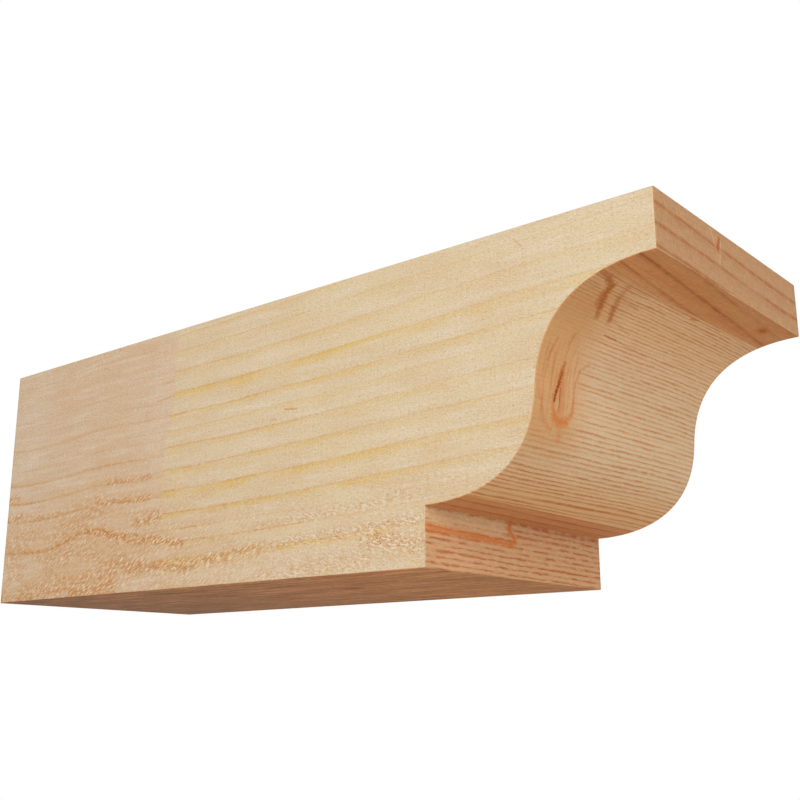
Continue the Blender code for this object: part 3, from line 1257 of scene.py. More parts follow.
@dataclass
class TimberBlank:
    """The sawn timber's mesh: its section drawn out over its width, with fine faces."""

    section: Section
    plain_pitch: float = 0.0030
    back_pitch: float = 0.0035
    heel_pitch: float = 0.0008
    ogee_pitch: float = 0.0006
    knot_side: Point = (0.003, 0.042)
    knot_side_pitch: float = 0.0010
    width_pitch: float = 0.0045
    near_grid: Point = (0.0021, 0.00095)
    far_grid: Point = (0.0040, 0.0016)
    arris_clearance: float = 0.0008
    quick_coarseness: float = 4.0

    def outline(self) -> Outline:
        """The outline's points, round from the underside's back end."""
        low, high = self.section.low, self.section.high
        back, nose = low.x, high.x
        step = self.section.step_top
        nose_foot = self.section.nose_foot
        heel = np.array([step[0], low.z])
        back_low = np.array([back, low.z])
        back_high = np.array([back, high.z])
        nose_high = np.array([nose, high.z])
        ogee = resampled(self.section.ogee, self.ogee_pitch)
        ogee_runs = np.concatenate([[0.0], np.cumsum(np.linalg.norm(np.diff(ogee, axis=0), axis=1))])
        step_run = float(step[1] - low.z)
        nose_run = step_run + float(ogee_runs[-1])
        line = Outline.blank()
        line.add_corner(back_low, -UP, RIGHT, Face.UNDERSIDE, 0.0)
        line.add_straight(back_low, heel, self.plain_pitch, Face.UNDERSIDE, 0.0)
        line.add_corner(heel, RIGHT, UP, Face.FRONT, 0.0)
        line.add_straight(heel, step, self.heel_pitch, Face.FRONT, 0.0)
        line.add(step, RIGHT - UP, Face.FRONT, step_run, 0.0)
        ahead = np.gradient(ogee, axis=0)
        ahead /= np.linalg.norm(ahead, axis=1)[:, None]
        for order in range(1, len(ogee) - 1):
            outward = np.array([ahead[order][1], -ahead[order][0]])
            line.add(ogee[order], outward, Face.FRONT, step_run + float(ogee_runs[order]), 1.0)
        line.add_corner(nose_foot, RIGHT, UP, Face.FRONT, nose_run)
        line.add_straight(nose_foot, nose_high, self.heel_pitch, Face.FRONT, nose_run)
        top_run = nose_run + float(nose_high[1] - nose_foot[1])
        line.add_corner(nose_high, UP, -RIGHT, Face.TOP, top_run)
        line.add_straight(nose_high, back_high, self.plain_pitch, Face.TOP, top_run)
        line.add_corner(back_high, -RIGHT, -UP, Face.BACK_END, top_run)
        line.add_straight(back_high, back_low, self.back_pitch, Face.BACK_END, top_run)
        return line

    def stations(self) -> list[Station]:
        """Where the section is set across the width, close together on the knot's side."""
        near, far = self.section.low.y, self.section.high.y
        reach = far - near
        edge, within = self.knot_side
        inner = [
            *np.arange(ARRIS_EASE + self.arris_clearance, edge, self.knot_side_pitch),
            *np.arange(edge, within, self.knot_side_pitch),
            *np.linspace(within, reach - edge, round(reach / self.width_pitch)),
        ]
        eased = [
            (ARRIS_EASE * (1.0 - math.cos(turn)), ARRIS_EASE * (1.0 - math.sin(turn)))
            for turn in CORNER_STEPS
        ]
        placed = [Station(near + place, drawn_in, 0.0) for place, drawn_in in eased]
        placed += [Station(near + place, 0.0, 1.0) for place in inner]
        placed += [Station(far - place, drawn_in, 0.0) for place, drawn_in in reversed(eased)]
        return placed

    def ring(self, shape: bmesh.types.BMesh, line: Outline, station: Station) -> list[bmesh.types.BMVert]:
        """The outline's points set at one station; points that fall together there are one."""
        run = shape.verts.layers.float["run"]
        room = shape.verts.layers.float["room"]
        placed: dict[Point, bmesh.types.BMVert] = {}
        ring = []
        for place, outward, reach, loose in zip(line.places, line.outward, line.runs, line.rooms):
            x, z = place - station.drawn_in * outward
            key = (round(x, 6), round(z, 6))
            if key not in placed:
                placed[key] = shape.verts.new((x, station.across, z))
                placed[key][run] = reach
                placed[key][room] = station.room * loose
            ring.append(placed[key])
        return ring

    def drawn_out(self, line: Outline, stations: list[Station]) -> tuple[bmesh.types.BMesh, list]:
        """The outline drawn out from station to station, open at both ends.

        Args:
            line: the outline.
            stations: where its rings are set.

        Returns:
            The shape, and its first ring.
        """
        shape = bmesh.new()
        shape.verts.layers.float.new("run")
        shape.verts.layers.float.new("room")
        kind = shape.faces.layers.int.new("kind")
        rings = [self.ring(shape, line, station) for station in stations]
        count = len(line.places)
        for ring, following in zip(rings, rings[1:]):
            for order in range(count):
                after = (order + 1) % count
                corners = dict.fromkeys((ring[order], ring[after], following[after], following[order]))
                if len(corners) > 2:
                    shape.faces.new(list(corners))[kind] = line.faces[order]
        return shape, rings[0]

    def skin(self, line: Outline, stations: list[Station], side: Face, grid: Point) -> bmesh.types.BMesh:
        """One side, cut into a fine grid, with the eased strip round it.

        Args:
            line: the outline.
            stations: the side's own station and the next one inwards.
            side: which side it is.
            grid: how long and how high the grid's faces are.

        Returns:
            The shape.
        """
        shape, rim = self.drawn_out(line, stations)
        cap = shape.faces.new(list(dict.fromkeys(rim)))
        cap[shape.faces.layers.int["kind"]] = side
        low, high = self.section.low, self.section.high
        faces = [cap]
        for axis, pitch in ((2, grid[1]), (0, grid[0])):
            cuts = np.linspace(low[axis], high[axis], round((high[axis] - low[axis]) / pitch) + 1)
            faces = sliced(shape, faces, axis, list(cuts[1:-1]))
        room = shape.verts.layers.float["room"]
        within = set(faces)
        for vert in {vert for face in faces for vert in face.verts}:
            vert[room] = 1.0 if within.issuperset(vert.link_faces) else 0.0
        return shape

    def mesh(self) -> bpy.types.Mesh:
        """The whole timber as a mesh with its faces' kinds, its arrises sharp and its flat map."""
        line = self.outline()
        stations = self.stations()
        coarse = 1.0
        shape, _ = self.drawn_out(line, stations[1:-1])
        for side, outer, grid in (
            (Face.NEAR_SIDE, stations[:2], self.near_grid),
            (Face.FAR_SIDE, stations[:-3:-1], self.far_grid),
        ):
            skin = self.skin(line, outer, side, (grid[0] * coarse, grid[1] * coarse))
            piece = bpy.data.meshes.new("skin")
            skin.to_mesh(piece)
            skin.free()
            shape.from_mesh(piece)
            bpy.data.meshes.remove(piece)
        bmesh.ops.remove_doubles(shape, verts=shape.verts, dist=WELD)
        bmesh.ops.recalc_face_normals(shape, faces=shape.faces)
        for edge in shape.edges:
            edge.smooth = edge.calc_face_angle(0.0) < SHARP_ANGLE
        for face in shape.faces:
            face.smooth = True
        mesh = bpy.data.meshes.new("timber")
        shape.to_mesh(mesh)
        shape.free()
        self.lay_flat(mesh)
        return mesh

    def lay_flat(self, mesh: bpy.types.Mesh) -> None:
        """Write the map that lays each face out flat, in metres."""
        corners = np.empty(len(mesh.loops), dtype=np.int32)
        mesh.loops.foreach_get("vertex_index", corners)
        counts = np.empty(len(mesh.polygons), dtype=np.int32)
        mesh.polygons.foreach_get("loop_total", counts)
        kinds = np.empty(len(mesh.polygons), dtype=np.int32)
        mesh.attributes["kind"].data.foreach_get("value", kinds)
        runs = np.empty(len(mesh.vertices), dtype=np.float32)
        mesh.attributes["run"].data.foreach_get("value", runs)
        places = np.empty(3 * len(mesh.vertices), dtype=np.float32)
        mesh.vertices.foreach_get("co", places)
        places = places.reshape(-1, 3)[corners] - np.array(self.section.low)
        along, across, height = places.T
        face = np.repeat(kinds, counts)
        lies_along = np.isin(face, (Face.NEAR_SIDE, Face.FAR_SIDE, Face.UNDERSIDE, Face.TOP))
        first = np.where(lies_along, along, across)
        second = np.select(
            [face == Face.FRONT, np.isin(face, (Face.UNDERSIDE, Face.TOP))], [runs[corners], across], height
        )
        flat = mesh.uv_layers.new(name=FLAT_MAP)
        flat.data.foreach_set("uv", np.column_stack([first, second]).astype(np.float32).ravel())


def sliced(shape: bmesh.types.BMesh, faces: list[bmesh.types.BMFace], axis: int, cuts: list[float]) -> list:
    """Cut faces by planes square to an axis, from the middle plane outwards.

    Args:
        shape: the shape that holds the faces.
        faces: the faces to cut.
        axis: 0 for X, 1 for Y, 2 for Z.
        cuts: where the planes lie on the axis, in rising order.

    Returns:
        The faces that the cuts leave.
    """
    if not cuts or not faces:
        return faces
    middle = len(cuts) // 2
    way = Vector((0.0, 0.0, 0.0))
    way[axis] = 1.0
    edges = {edge for face in faces for edge in face.edges}
    verts = {vert for face in faces for vert in face.verts}
    cut = bmesh.ops.bisect_plane(
        shape, geom=[*verts, *edges, *faces], dist=WELD, plane_co=way * cuts[middle], plane_no=way
    )
    pieces = [item for item in cut["geom"] if isinstance(item, bmesh.types.BMFace)]
    below = [face for face in pieces if face.calc_center_median()[axis] < cuts[middle]]
    above = [face for face in pieces if face.calc_center_median()[axis] >= cuts[middle]]
    return sliced(shape, below, axis, cuts[:middle]) + sliced(shape, above, axis, cuts[middle + 1 :])


RELIEF_INPUTS = ("Fibre depth", "Growth depth", "Saw mark depth", "Saw mark pitch", "Crack depth", "Seed")
SAW_WOBBLE_GRAIN = (30.0, 60.0)
SAW_WOBBLE_SEED = 7.0
END_GRAIN_DEPTH = 1.5


def material_input(face: Face) -> str:
    """The name of the relief tree's input for a face's material."""
    return f"{face.name.replace('_', ' ').capitalize()} material"


def on_face(desk: NodeDesk, kind: Socket, face: Face) -> Socket:
    """1 on one face of the timber and 0 on the others."""
    return desk.number("COMPARE", kind, float(face), 0.5)


@dataclass(frozen=True)
class SawnRelief:
    """How deep rings, torn grain, saw marks and cracks are cut, and how the saw marks lie, in metres."""

    fibre_depth: float = 0.00009
    growth_depth: float = 0.00010
    saw_mark_depth: float = 0.00004
    saw_mark_pitch: float = 0.0045
    crack_depth: float = 0.00025
    seed: float = 3.0

    def tree(self, reach: FrontReach) -> bpy.types.NodeTree:
        """The geometry tree that cuts the relief into the timber.

        Args:
            reach: how far up the front its corners lie.

        Returns:
            The tree, whose inputs carry this relief's sizes.
        """
        tree = bpy.data.node_groups.new("sawn relief", "GeometryNodeTree")
        inputs = {"Geometry": "NodeSocketGeometry"}
        inputs.update({material_input(face): "NodeSocketMaterial" for face in Face})
        inputs.update(dict.fromkeys(RELIEF_INPUTS, "NodeSocketFloat"))
        for name, kind in inputs.items():
            tree.interface.new_socket(name, in_out="INPUT", socket_type=kind)
        tree.interface.new_socket("Geometry", in_out="OUTPUT", socket_type="NodeSocketGeometry")
        desk = NodeDesk(tree)
        given = desk.node("NodeGroupInput").outputs
        depth = self.depth(desk, given, reach)
        room = self.read(desk, "room", "FLOAT")
        normal = desk.node("GeometryNodeInputNormal").outputs[0]
        cut = desk.product(depth, room, -1.0)
        offset = desk.vector("MULTIPLY", normal, desk.join(cut, cut, cut))
        cutter = desk.node("GeometryNodeSetPosition")
        desk.plug(cutter, {"Geometry": given["Geometry"], "Offset": offset})
        dressed = desk.node("GeometryNodeRealizeInstances")
        desk.plug(dressed, {"Geometry": cutter.outputs["Geometry"]})
        kind = self.read(desk, "kind", "FLOAT")
        for face in Face:
            worn = {
                "Geometry": dressed.outputs["Geometry"],
                "Selection": on_face(desk, kind, face),
                "Material": given[material_input(face)],
            }
            dressed = desk.plug(desk.node("GeometryNodeSetMaterial"), worn)
        desk.plug(desk.node("NodeGroupOutput"), {"Geometry": dressed.outputs["Geometry"]})
        return tree

    @staticmethod
    def read(desk: NodeDesk, name: str, kind: str) -> Socket:
        """A named attribute of the mesh."""
        reader = desk.node("GeometryNodeInputNamedAttribute", data_type=kind)
        return desk.plug(reader, {"Name": name}).outputs["Attribute"]

    def depth(self, desk: NodeDesk, given: bpy.types.NodeInputs, reach: FrontReach) -> Socket:
        """How far each point is cut in, in metres, whichever face it lies on."""
        place = desk.vector("MULTIPLY", self.read(desk, FLAT_MAP, "FLOAT_VECTOR"), (MM, MM, 0.0))
        kind = self.read(desk, "kind", "FLOAT")
        across, _ = desk.split(place)
        wobble = desk.noise(place, SAW_WOBBLE_GRAIN, seed=SAW_WOBBLE_SEED)
        turns = desk.number("DIVIDE", across, desk.number("MULTIPLY", given["Saw mark pitch"], MM))
        angle = desk.number("MULTIPLY", desk.total(turns, wobble, given["Seed"]), math.tau)
        wave = desk.number("SINE", angle)
        saw = desk.product(desk.number("MULTIPLY_ADD", wave, 0.5, 0.5), given["Saw mark depth"])
        near = near_side(desk, place)
        plain = plain_side(desk, place)
        shown_front = front(desk, place, reach)
        late, rays = back_end(desk, place)
        depth_by_face = {
            Face.NEAR_SIDE: desk.total(saw, self.side_depth(desk, given, near)),
            Face.FAR_SIDE: desk.total(saw, self.side_depth(desk, given, plain)),
            Face.TOP: self.side_depth(desk, given, plain),
            Face.UNDERSIDE: desk.product(desk.rest(under_side(desk, place).line), given["Growth depth"]),
            Face.FRONT: desk.total(
                desk.product(desk.rest(shown_front.line), given["Growth depth"]),
                desk.product(shown_front.crack, given["Crack depth"]),
            ),
            Face.BACK_END: desk.total(
                saw,
                desk.product(desk.rest(late), given["Growth depth"], END_GRAIN_DEPTH),
                desk.product(rays, given["Growth depth"]),
            ),
        }
        parts = [desk.product(on_face(desk, kind, face), depth) for face, depth in depth_by_face.items()]
        return desk.total(*parts)

    @staticmethod
    def side_depth(desk: NodeDesk, given: bpy.types.NodeInputs, grain: SideGrain) -> Socket:
        """How far a side is cut in between its late lines and in its torn grain."""
        growth = desk.product(desk.rest(grain.line), given["Growth depth"])
        rough = desk.number("MULTIPLY_ADD", desk.number("SUBTRACT", grain.pit, grain.tuft), 0.5, 0.5)
        return desk.total(growth, desk.product(rough, grain.torn, given["Fibre depth"]))

    def inputs(self) -> dict[str, float]:
        """The value of each of the tree's named inputs."""
        return {name: getattr(self, name.lower().replace(" ", "_")) for name in RELIEF_INPUTS}


@dataclass(frozen=True)
class SideTones:
    """The colours of a sawn side."""

    back_ground: Colour
    nose_ground: Colour
    strip_ground: Colour
    back_band: Colour
    nose_band: Colour
    back_line: Colour
    nose_line: Colour
    torn_ground: Colour
    torn_pit: Colour
    torn_tuft: Colour
    nose_torn_ground: Colour
    nose_torn_pit: Colour
    nose_torn_tuft: Colour
    whitish: Colour
    nick: Colour


@dataclass(frozen=True)
class FrontTones:
    """The colours of the front, from the heel up to the nose. The grounds of the foot and of the cove's
    head are partly wood tone and partly painted shade.
    """

    heel: Colour
    heel_line: Colour
    foot_with_painted_shade: Colour
    foot_line: Colour
    belly_low: Colour
    belly: Colour
    belly_high: Colour
    belly_line: Colour
    belly_low_line: Colour
    knot_side: Colour
    head: Colour
    head_light: Colour
    head_line: Colour
    nose: Colour
    nose_line: Colour
    crack: Colour
    brown_streak: Colour
    orange_mark: Colour
    reddish_mark: Colour
    pale_mark: Colour


@dataclass(frozen=True)
class PlainTones:
    """The colours of the underside and of the back end; the underside's ground holds painted shade."""

    under_with_painted_shade: Colour
    under_heel: Colour
    under_line: Colour
    under_spot: Colour
    end: Colour
    end_late: Colour
    end_ray: Colour


@dataclass(frozen=True)
class SideShares:
    """How strongly each mask of a side shows in its colour."""

    warmth: float = 0.25
    strip: float = 0.7
    cloud: float = 0.25
    pale: float = 0.6
    band: float = 0.85
    line: float = 0.9
    fleck: float = 0.45
    torn_pit: float = 0.95
    nick: float = 0.7


@dataclass(frozen=True)
class FrontShares:
    """How strongly each mask of the front shows in its colour."""

    knot_side: float = 0.85
    band: float = 0.3
    line: float = 0.85
    head_light: float = 0.4
    knot_streak: float = 0.5
    pale_mark: float = 0.8
    orange_mark: float = 0.9
    reddish_mark: float = 0.75
    brown_streak: float = 0.9
    crack: float = 0.95


@dataclass(frozen=True)
class PlainShares:
    """How strongly each mask of the underside and of the back end shows in its colour."""

    under_line: float = 0.6
    under_spot: float = 0.75
    end_late: float = 0.7
    end_ray: float = 0.25


TO_NOSE: Fade = (150.0, 300.0, 0.75, 1.0)
WARM_STRETCH: Window = (42.0, 150.0, 50.0)
CLOUDS = Patches((45.0, 12.0), 111.0, (0.35, 0.65, 0.0, 1.0))
LOW_TINT = ((0.0, 0.36), (10.0, 0.58), (24.0, 0.48), (62.0, 0.0))
LOW_TINT_REACH: Fade = (140.0, 260.0, 1.0, 0.12)
FLECKS = Patches((1.9, 0.7), 113.0, (0.54, 0.72, 0.0, 1.0))
SPECKS = Patches((1.5, 0.7), 119.0, (0.54, 0.72, 0.0, 1.0))
BY_NOSE: Fade = (180.0, 250.0, 0.0, 1.0)
TORN_GROUND_SHARE: Fade = (0.0, 1.0, 0.3, 0.1)
TORN_TUFT_SHARE: Fade = (0.0, 1.0, 0.85, 0.5)
SIDE_MOTTLES = (Mottle((1.0, 0.7), 0.11, 115.0), Mottle((0.9, 24.0), 0.03, 117.0))

BELLY_FROM_LOW: Fade = (56.0, 92.0, 0.0, 1.0)
BELLY_TO_HIGH: Fade = (120.0, 160.0, 0.0, 1.0)
BELLY_LINES: Fade = (62.0, 88.0, 0.0, 1.0)
KNOT_SIDE_ACROSS: Fade = (18.0, 52.0, 1.0, 0.0)
KNOT_SIDE_UP: Window = (84.0, 166.0, 30.0)
HEAD_LIGHTS = Patches((120.0, 8.0), 127.0, (0.4, 0.6, 0.0, 1.0))
KNOT_STREAKS = Patches((2.4, 26.0), 121.0, (0.5, 0.7, 0.0, 1.0))
HEEL_MOTTLES = (Mottle((4.0, 1.1), 0.1, 145.0),)
SMOOTH_MOTTLES = (Mottle((0.9, 5.0), 0.1, 137.0), Mottle((7.0, 0.8), 0.1, 139.0))
FRONT_MOTTLES = (
    Mottle((18.0, 0.8), 0.05, 123.0), Mottle((1.2, 1.0), 0.07, 125.0), Mottle((1.0, 9.0), 0.03, 129.0),
)

TO_HEEL: Fade = (-40.0, 340.0, 0.0, 1.0)
UNDER_MOTTLES = (
    Mottle((60.0, 8.0), 0.3, 131.0), Mottle((18.0, 2.0), 0.32, 133.0), Mottle((4.0, 1.2), 0.28, 135.0),
)
END_MOTTLES = (Mottle((25.0, 20.0), 0.05, 141.0), Mottle((0.9, 0.9), 0.05, 143.0))

Paint = Callable[[NodeDesk, Socket], Socket]


@dataclass(frozen=True)
class SawnSoftwood:
    """The finish of the whole timber: dry sawn softwood without a coat."""

    side: SideTones
    front: FrontTones
    plain: PlainTones
    reach: FrontReach
    side_shares: SideShares = SideShares()
    front_shares: FrontShares = FrontShares()
    plain_shares: PlainShares = PlainShares()
    roughness: float = 0.78
    roughness_range: float = 0.12
    front_smoothness: float = 0.12
    gloss: float = 0.25
    bump_depth: float = 0.00035

    def materials(self) -> dict[Face, bpy.types.Material]:
        """The material of each face; the far side and the top share one."""
        plain = self.material("sawn far side and top", self.plain_paint)
        return {
            Face.NEAR_SIDE: self.material("sawn near side", self.near_paint),
            Face.FAR_SIDE: plain,
            Face.TOP: plain,
            Face.FRONT: self.material("sawn front", self.front_paint, self.front_smoothness),
            Face.UNDERSIDE: self.material("sawn underside", self.under_paint),
            Face.BACK_END: self.material("sawn back end", self.end_paint),
        }

    def material(self, name: str, paint: Paint, smoothness: float = 0.0) -> bpy.types.Material:
        """One face's material, which reads the flat map.

        Args:
            name: what the material is called.
            paint: places the nodes of its colour.
            smoothness: how much smoother it is than the sawn sides.

        Returns:
            The material.
        """
        material = bpy.data.materials.new(name)
        material.use_nodes = True
        material.node_tree.nodes.clear()
        desk = NodeDesk(material.node_tree)
        reader = desk.node("ShaderNodeUVMap", uv_map=FLAT_MAP)
        place = desk.vector("MULTIPLY", reader.outputs[0], (MM, MM, 0.0))
        colour = paint(desk, place)
        lowest = self.roughness - smoothness
        wood = desk.group(bare_wood(desk.tree), place=place, lowest=lowest, range=self.roughness_range)
        bump = desk.node("ShaderNodeBump")
        desk.plug(bump, {"Height": wood.outputs["Height"], "Distance": self.bump_depth})
        surface = desk.node("ShaderNodeBsdfPrincipled")
        look = {
            "Base Color": colour,
            "Roughness": wood.outputs["Roughness"],
            "Specular IOR Level": self.gloss,
            "Normal": bump.outputs["Normal"],
        }
        desk.plug(surface, look)
        desk.plug(desk.node("ShaderNodeOutputMaterial"), {"Surface": surface.outputs["BSDF"]})
        return material

    def near_paint(self, desk: NodeDesk, place: Socket) -> Socket:
        """The colour of the near side."""
        return self.side_colour(desk, place, near_side(desk, place))

    def plain_paint(self, desk: NodeDesk, place: Socket) -> Socket:
        """The colour of the far side and of the top."""
        return self.side_colour(desk, place, plain_side(desk, place))

    def side_colour(self, desk: NodeDesk, place: Socket, grain: SideGrain) -> Socket:
        """The colour of a sawn side.

        Args:
            desk: the tree's desk.
            place: where the side is read.
            grain: the side's masks.

        Returns:
            The colour.
        """
        tones = self.side
        shares = self.side_shares
        across, height = desk.split(place)
        to_nose = desk.ease(across, *TO_NOSE)
        warmth = desk.product(desk.window(across, *WARM_STRETCH), desk.rest(grain.nose_stretch))
        low = desk.product(desk.curve(height, LOW_TINT), desk.ease(across, *LOW_TINT_REACH))
        ground = desk.laid(tones.back_ground, tones.back_band, warmth, shares.warmth)
        ground = desk.laid(ground, tones.nose_ground, grain.nose_stretch, to_nose)
        ground = desk.laid(ground, tones.strip_ground, grain.pale_strip, shares.strip)
        ground = desk.laid(ground, tones.back_band, CLOUDS.draw(desk, place), shares.cloud)
        ground = desk.laid(ground, tones.back_band, low)
        ground = desk.laid(ground, tones.whitish, grain.pale, shares.pale)
        band = desk.laid(tones.back_band, tones.nose_band, grain.nose_stretch)
        line = desk.laid(tones.back_line, tones.nose_line, grain.nose_stretch)
        colour = desk.laid(ground, band, grain.band, shares.band)
        colour = desk.laid(colour, line, grain.line, shares.line)
        colour = desk.laid(colour, tones.back_line, FLECKS.draw(desk, place), shares.fleck)
        colour = desk.laid(colour, tones.whitish, SPECKS.draw(desk, place), shares.fleck)
        by_nose = desk.product(desk.ease(across, *BY_NOSE), grain.nose_stretch)
        torn_ground = desk.laid(tones.torn_ground, tones.nose_torn_ground, by_nose)
        torn_pit = desk.laid(tones.torn_pit, tones.nose_torn_pit, by_nose)
        torn_tuft = desk.laid(tones.torn_tuft, tones.nose_torn_tuft, by_nose)
        colour = desk.laid(colour, torn_ground, grain.torn, desk.ease(by_nose, *TORN_GROUND_SHARE))
        colour = desk.laid(colour, torn_tuft, grain.torn, grain.tuft, desk.ease(by_nose, *TORN_TUFT_SHARE))
        colour = desk.laid(colour, torn_pit, grain.torn, grain.pit, shares.torn_pit)
        colour = desk.laid(colour, tones.nick, grain.nick, shares.nick)
        return mottled(desk, colour, place, *SIDE_MOTTLES)

    def front_paint(self, desk: NodeDesk, place: Socket) -> Socket:
        """The colour of the front.

        Args:
            desk: the tree's desk.
            place: where the front is read.

        Returns:
            The colour.
        """
        tones = self.front
        shares = self.front_shares
        grain = front(desk, place, self.reach)
        across, up = desk.split(place)
        ground = desk.laid(tones.belly_low, tones.belly, desk.ease(up, *BELLY_FROM_LOW))
        ground = desk.laid(ground, tones.belly_high, desk.ease(up, *BELLY_TO_HIGH))
        line = desk.laid(tones.belly_low_line, tones.belly_line, desk.ease(up, *BELLY_LINES))
        # The bulge's foot and the cove's head face down: their darker, more orange grounds are partly wood
        # tone and partly painted shade.
        for share, zone_ground, zone_line in (
            (grain.heel, tones.heel, tones.heel_line),
            (grain.bulge_foot, tones.foot_with_painted_shade, tones.foot_line),
            (grain.cove_head, tones.head, tones.head_line),
            (grain.nose, tones.nose, tones.nose_line),
        ):
            ground = desk.laid(ground, zone_ground, share)
            line = desk.laid(line, zone_line, share)
        knot_side = desk.product(desk.ease(across, *KNOT_SIDE_ACROSS), desk.window(up, *KNOT_SIDE_UP))
        ground = desk.laid(ground, tones.knot_side, knot_side, shares.knot_side)
        colour = desk.laid(ground, line, grain.band, shares.band)
        colour = desk.laid(colour, line, grain.line, shares.line)
        head_light = desk.product(grain.cove_head, HEAD_LIGHTS.draw(desk, place))
        colour = desk.laid(colour, tones.head_light, head_light, shares.head_light)
        streaks = KNOT_STREAKS.draw(desk, place)
        colour = desk.laid(colour, tones.reddish_mark, grain.knot, streaks, shares.knot_streak)
        for marks, mark_tone, share in (
            (PALE_MARKS, tones.pale_mark, shares.pale_mark),
            (ORANGE_MARKS, tones.orange_mark, shares.orange_mark),
            (REDDISH_MARKS, tones.reddish_mark, shares.reddish_mark),
            (BROWN_STREAKS, tones.brown_streak, shares.brown_streak),
        ):
            colour = desk.laid(colour, mark_tone, masked(desk, place, marks), share)
        colour = desk.laid(colour, tones.crack, grain.crack, shares.crack)
        colour = desk.laid(colour, mottled(desk, colour, place, *HEEL_MOTTLES), grain.heel)
        smooth = desk.total(grain.bulge_foot, grain.cove_head, grain.nose)
        colour = desk.laid(colour, mottled(desk, colour, place, *SMOOTH_MOTTLES), smooth)
        return mottled(desk, colour, place, *FRONT_MOTTLES)

    def under_paint(self, desk: NodeDesk, place: Socket) -> Socket:
        """The colour of the underside."""
        tones = self.plain
        shares = self.plain_shares
        grain = under_side(desk, place)
        along, _ = desk.split(place)
        # The underside's ground is partly its redder wood tone and partly painted shade.
        ground = desk.laid(tones.under_with_painted_shade, tones.under_heel, desk.ease(along, *TO_HEEL))
        colour = desk.laid(ground, tones.under_line, grain.line, shares.under_line)
        colour = desk.laid(colour, tones.under_spot, grain.spot, shares.under_spot)
        return mottled(desk, colour, place, *UNDER_MOTTLES)

    def end_paint(self, desk: NodeDesk, place: Socket) -> Socket:
        """The colour of the sawn back end."""
        tones = self.plain
        shares = self.plain_shares
        late, rays = back_end(desk, place)
        colour = desk.laid(tones.end, tones.end_late, late, shares.end_late)
        colour = desk.laid(colour, tones.end_ray, rays, shares.end_ray)
        return mottled(desk, colour, place, *END_MOTTLES)


SIDE_TONES = SideTones(
    back_ground=tone(210, 185, 158),
    nose_ground=tone(218, 198, 163),
    strip_ground=tone(214, 189, 161),
    back_band=tone(207, 170, 126),
    nose_band=tone(217, 181, 102),
    back_line=tone(196, 138, 80),
    nose_line=tone(204, 146, 76),
    torn_ground=tone(205, 165, 108),
    torn_pit=tone(188, 107, 20),
    torn_tuft=tone(234, 212, 178),
    nose_torn_ground=tone(223, 194, 142),
    nose_torn_pit=tone(190, 108, 12),
    nose_torn_tuft=tone(234, 220, 198),
    whitish=tone(225, 213, 195),
    nick=tone(200, 140, 76),
)

FRONT_TONES = FrontTones(
    heel=tone(206, 162, 118),
    heel_line=tone(180, 92, 44),
    # The down-facing foot's ground: partly wood tone, partly painted shade.
    foot_with_painted_shade=tone(210, 142, 87),
    foot_line=tone(176, 98, 50),
    belly_low=tone(230, 181, 125),
    belly=tone(214, 187, 151),
    belly_high=tone(229, 187, 141),
    belly_line=tone(195, 124, 60),
    belly_low_line=tone(190, 104, 42),
    knot_side=tone(205, 151, 94),
    # The down-facing head's ground: partly wood tone, partly painted shade.
    head=tone(207, 139, 82),
    head_light=tone(216, 158, 102),
    head_line=tone(169, 91, 40),
    nose=tone(190, 145, 103),
    nose_line=tone(169, 102, 51),
    crack=tone(128, 52, 12),
    brown_streak=tone(178, 96, 28),
    orange_mark=tone(204, 114, 44),
    reddish_mark=tone(192, 106, 54),
    pale_mark=tone(217, 180, 136),
)

PLAIN_TONES = PlainTones(
    # The underside's ground: a redder wood tone, made darker still as painted shade of the downward face.
    under_with_painted_shade=tone(162, 119, 89),
    under_heel=tone(198, 136, 86),
    under_line=tone(168, 108, 68),
    under_spot=tone(160, 82, 48),
    end=tone(206, 170, 128),
    end_late=tone(176, 122, 78),
    end_ray=tone(222, 190, 150),
)


@dataclass(frozen=True)
class Softbox:
    """A square softbox that faces the timber: where it hangs, its power in watts and its side."""

    name: str
    place: tuple[float, float, float]
    power: float
    side: float = 1.6

    def hang(self) -> None:
        """Hang it in the scene."""
        lamp = bpy.data.lights.new(self.name, "AREA")
        lamp.size = self.side
        lamp.energy = self.power
        holder = bpy.data.objects.new(self.name, lamp)
        holder.location = self.place
        holder.rotation_euler = (-Vector(self.place)).to_track_quat("-Z", "Y").to_euler()
        bpy.context.collection.objects.link(holder)


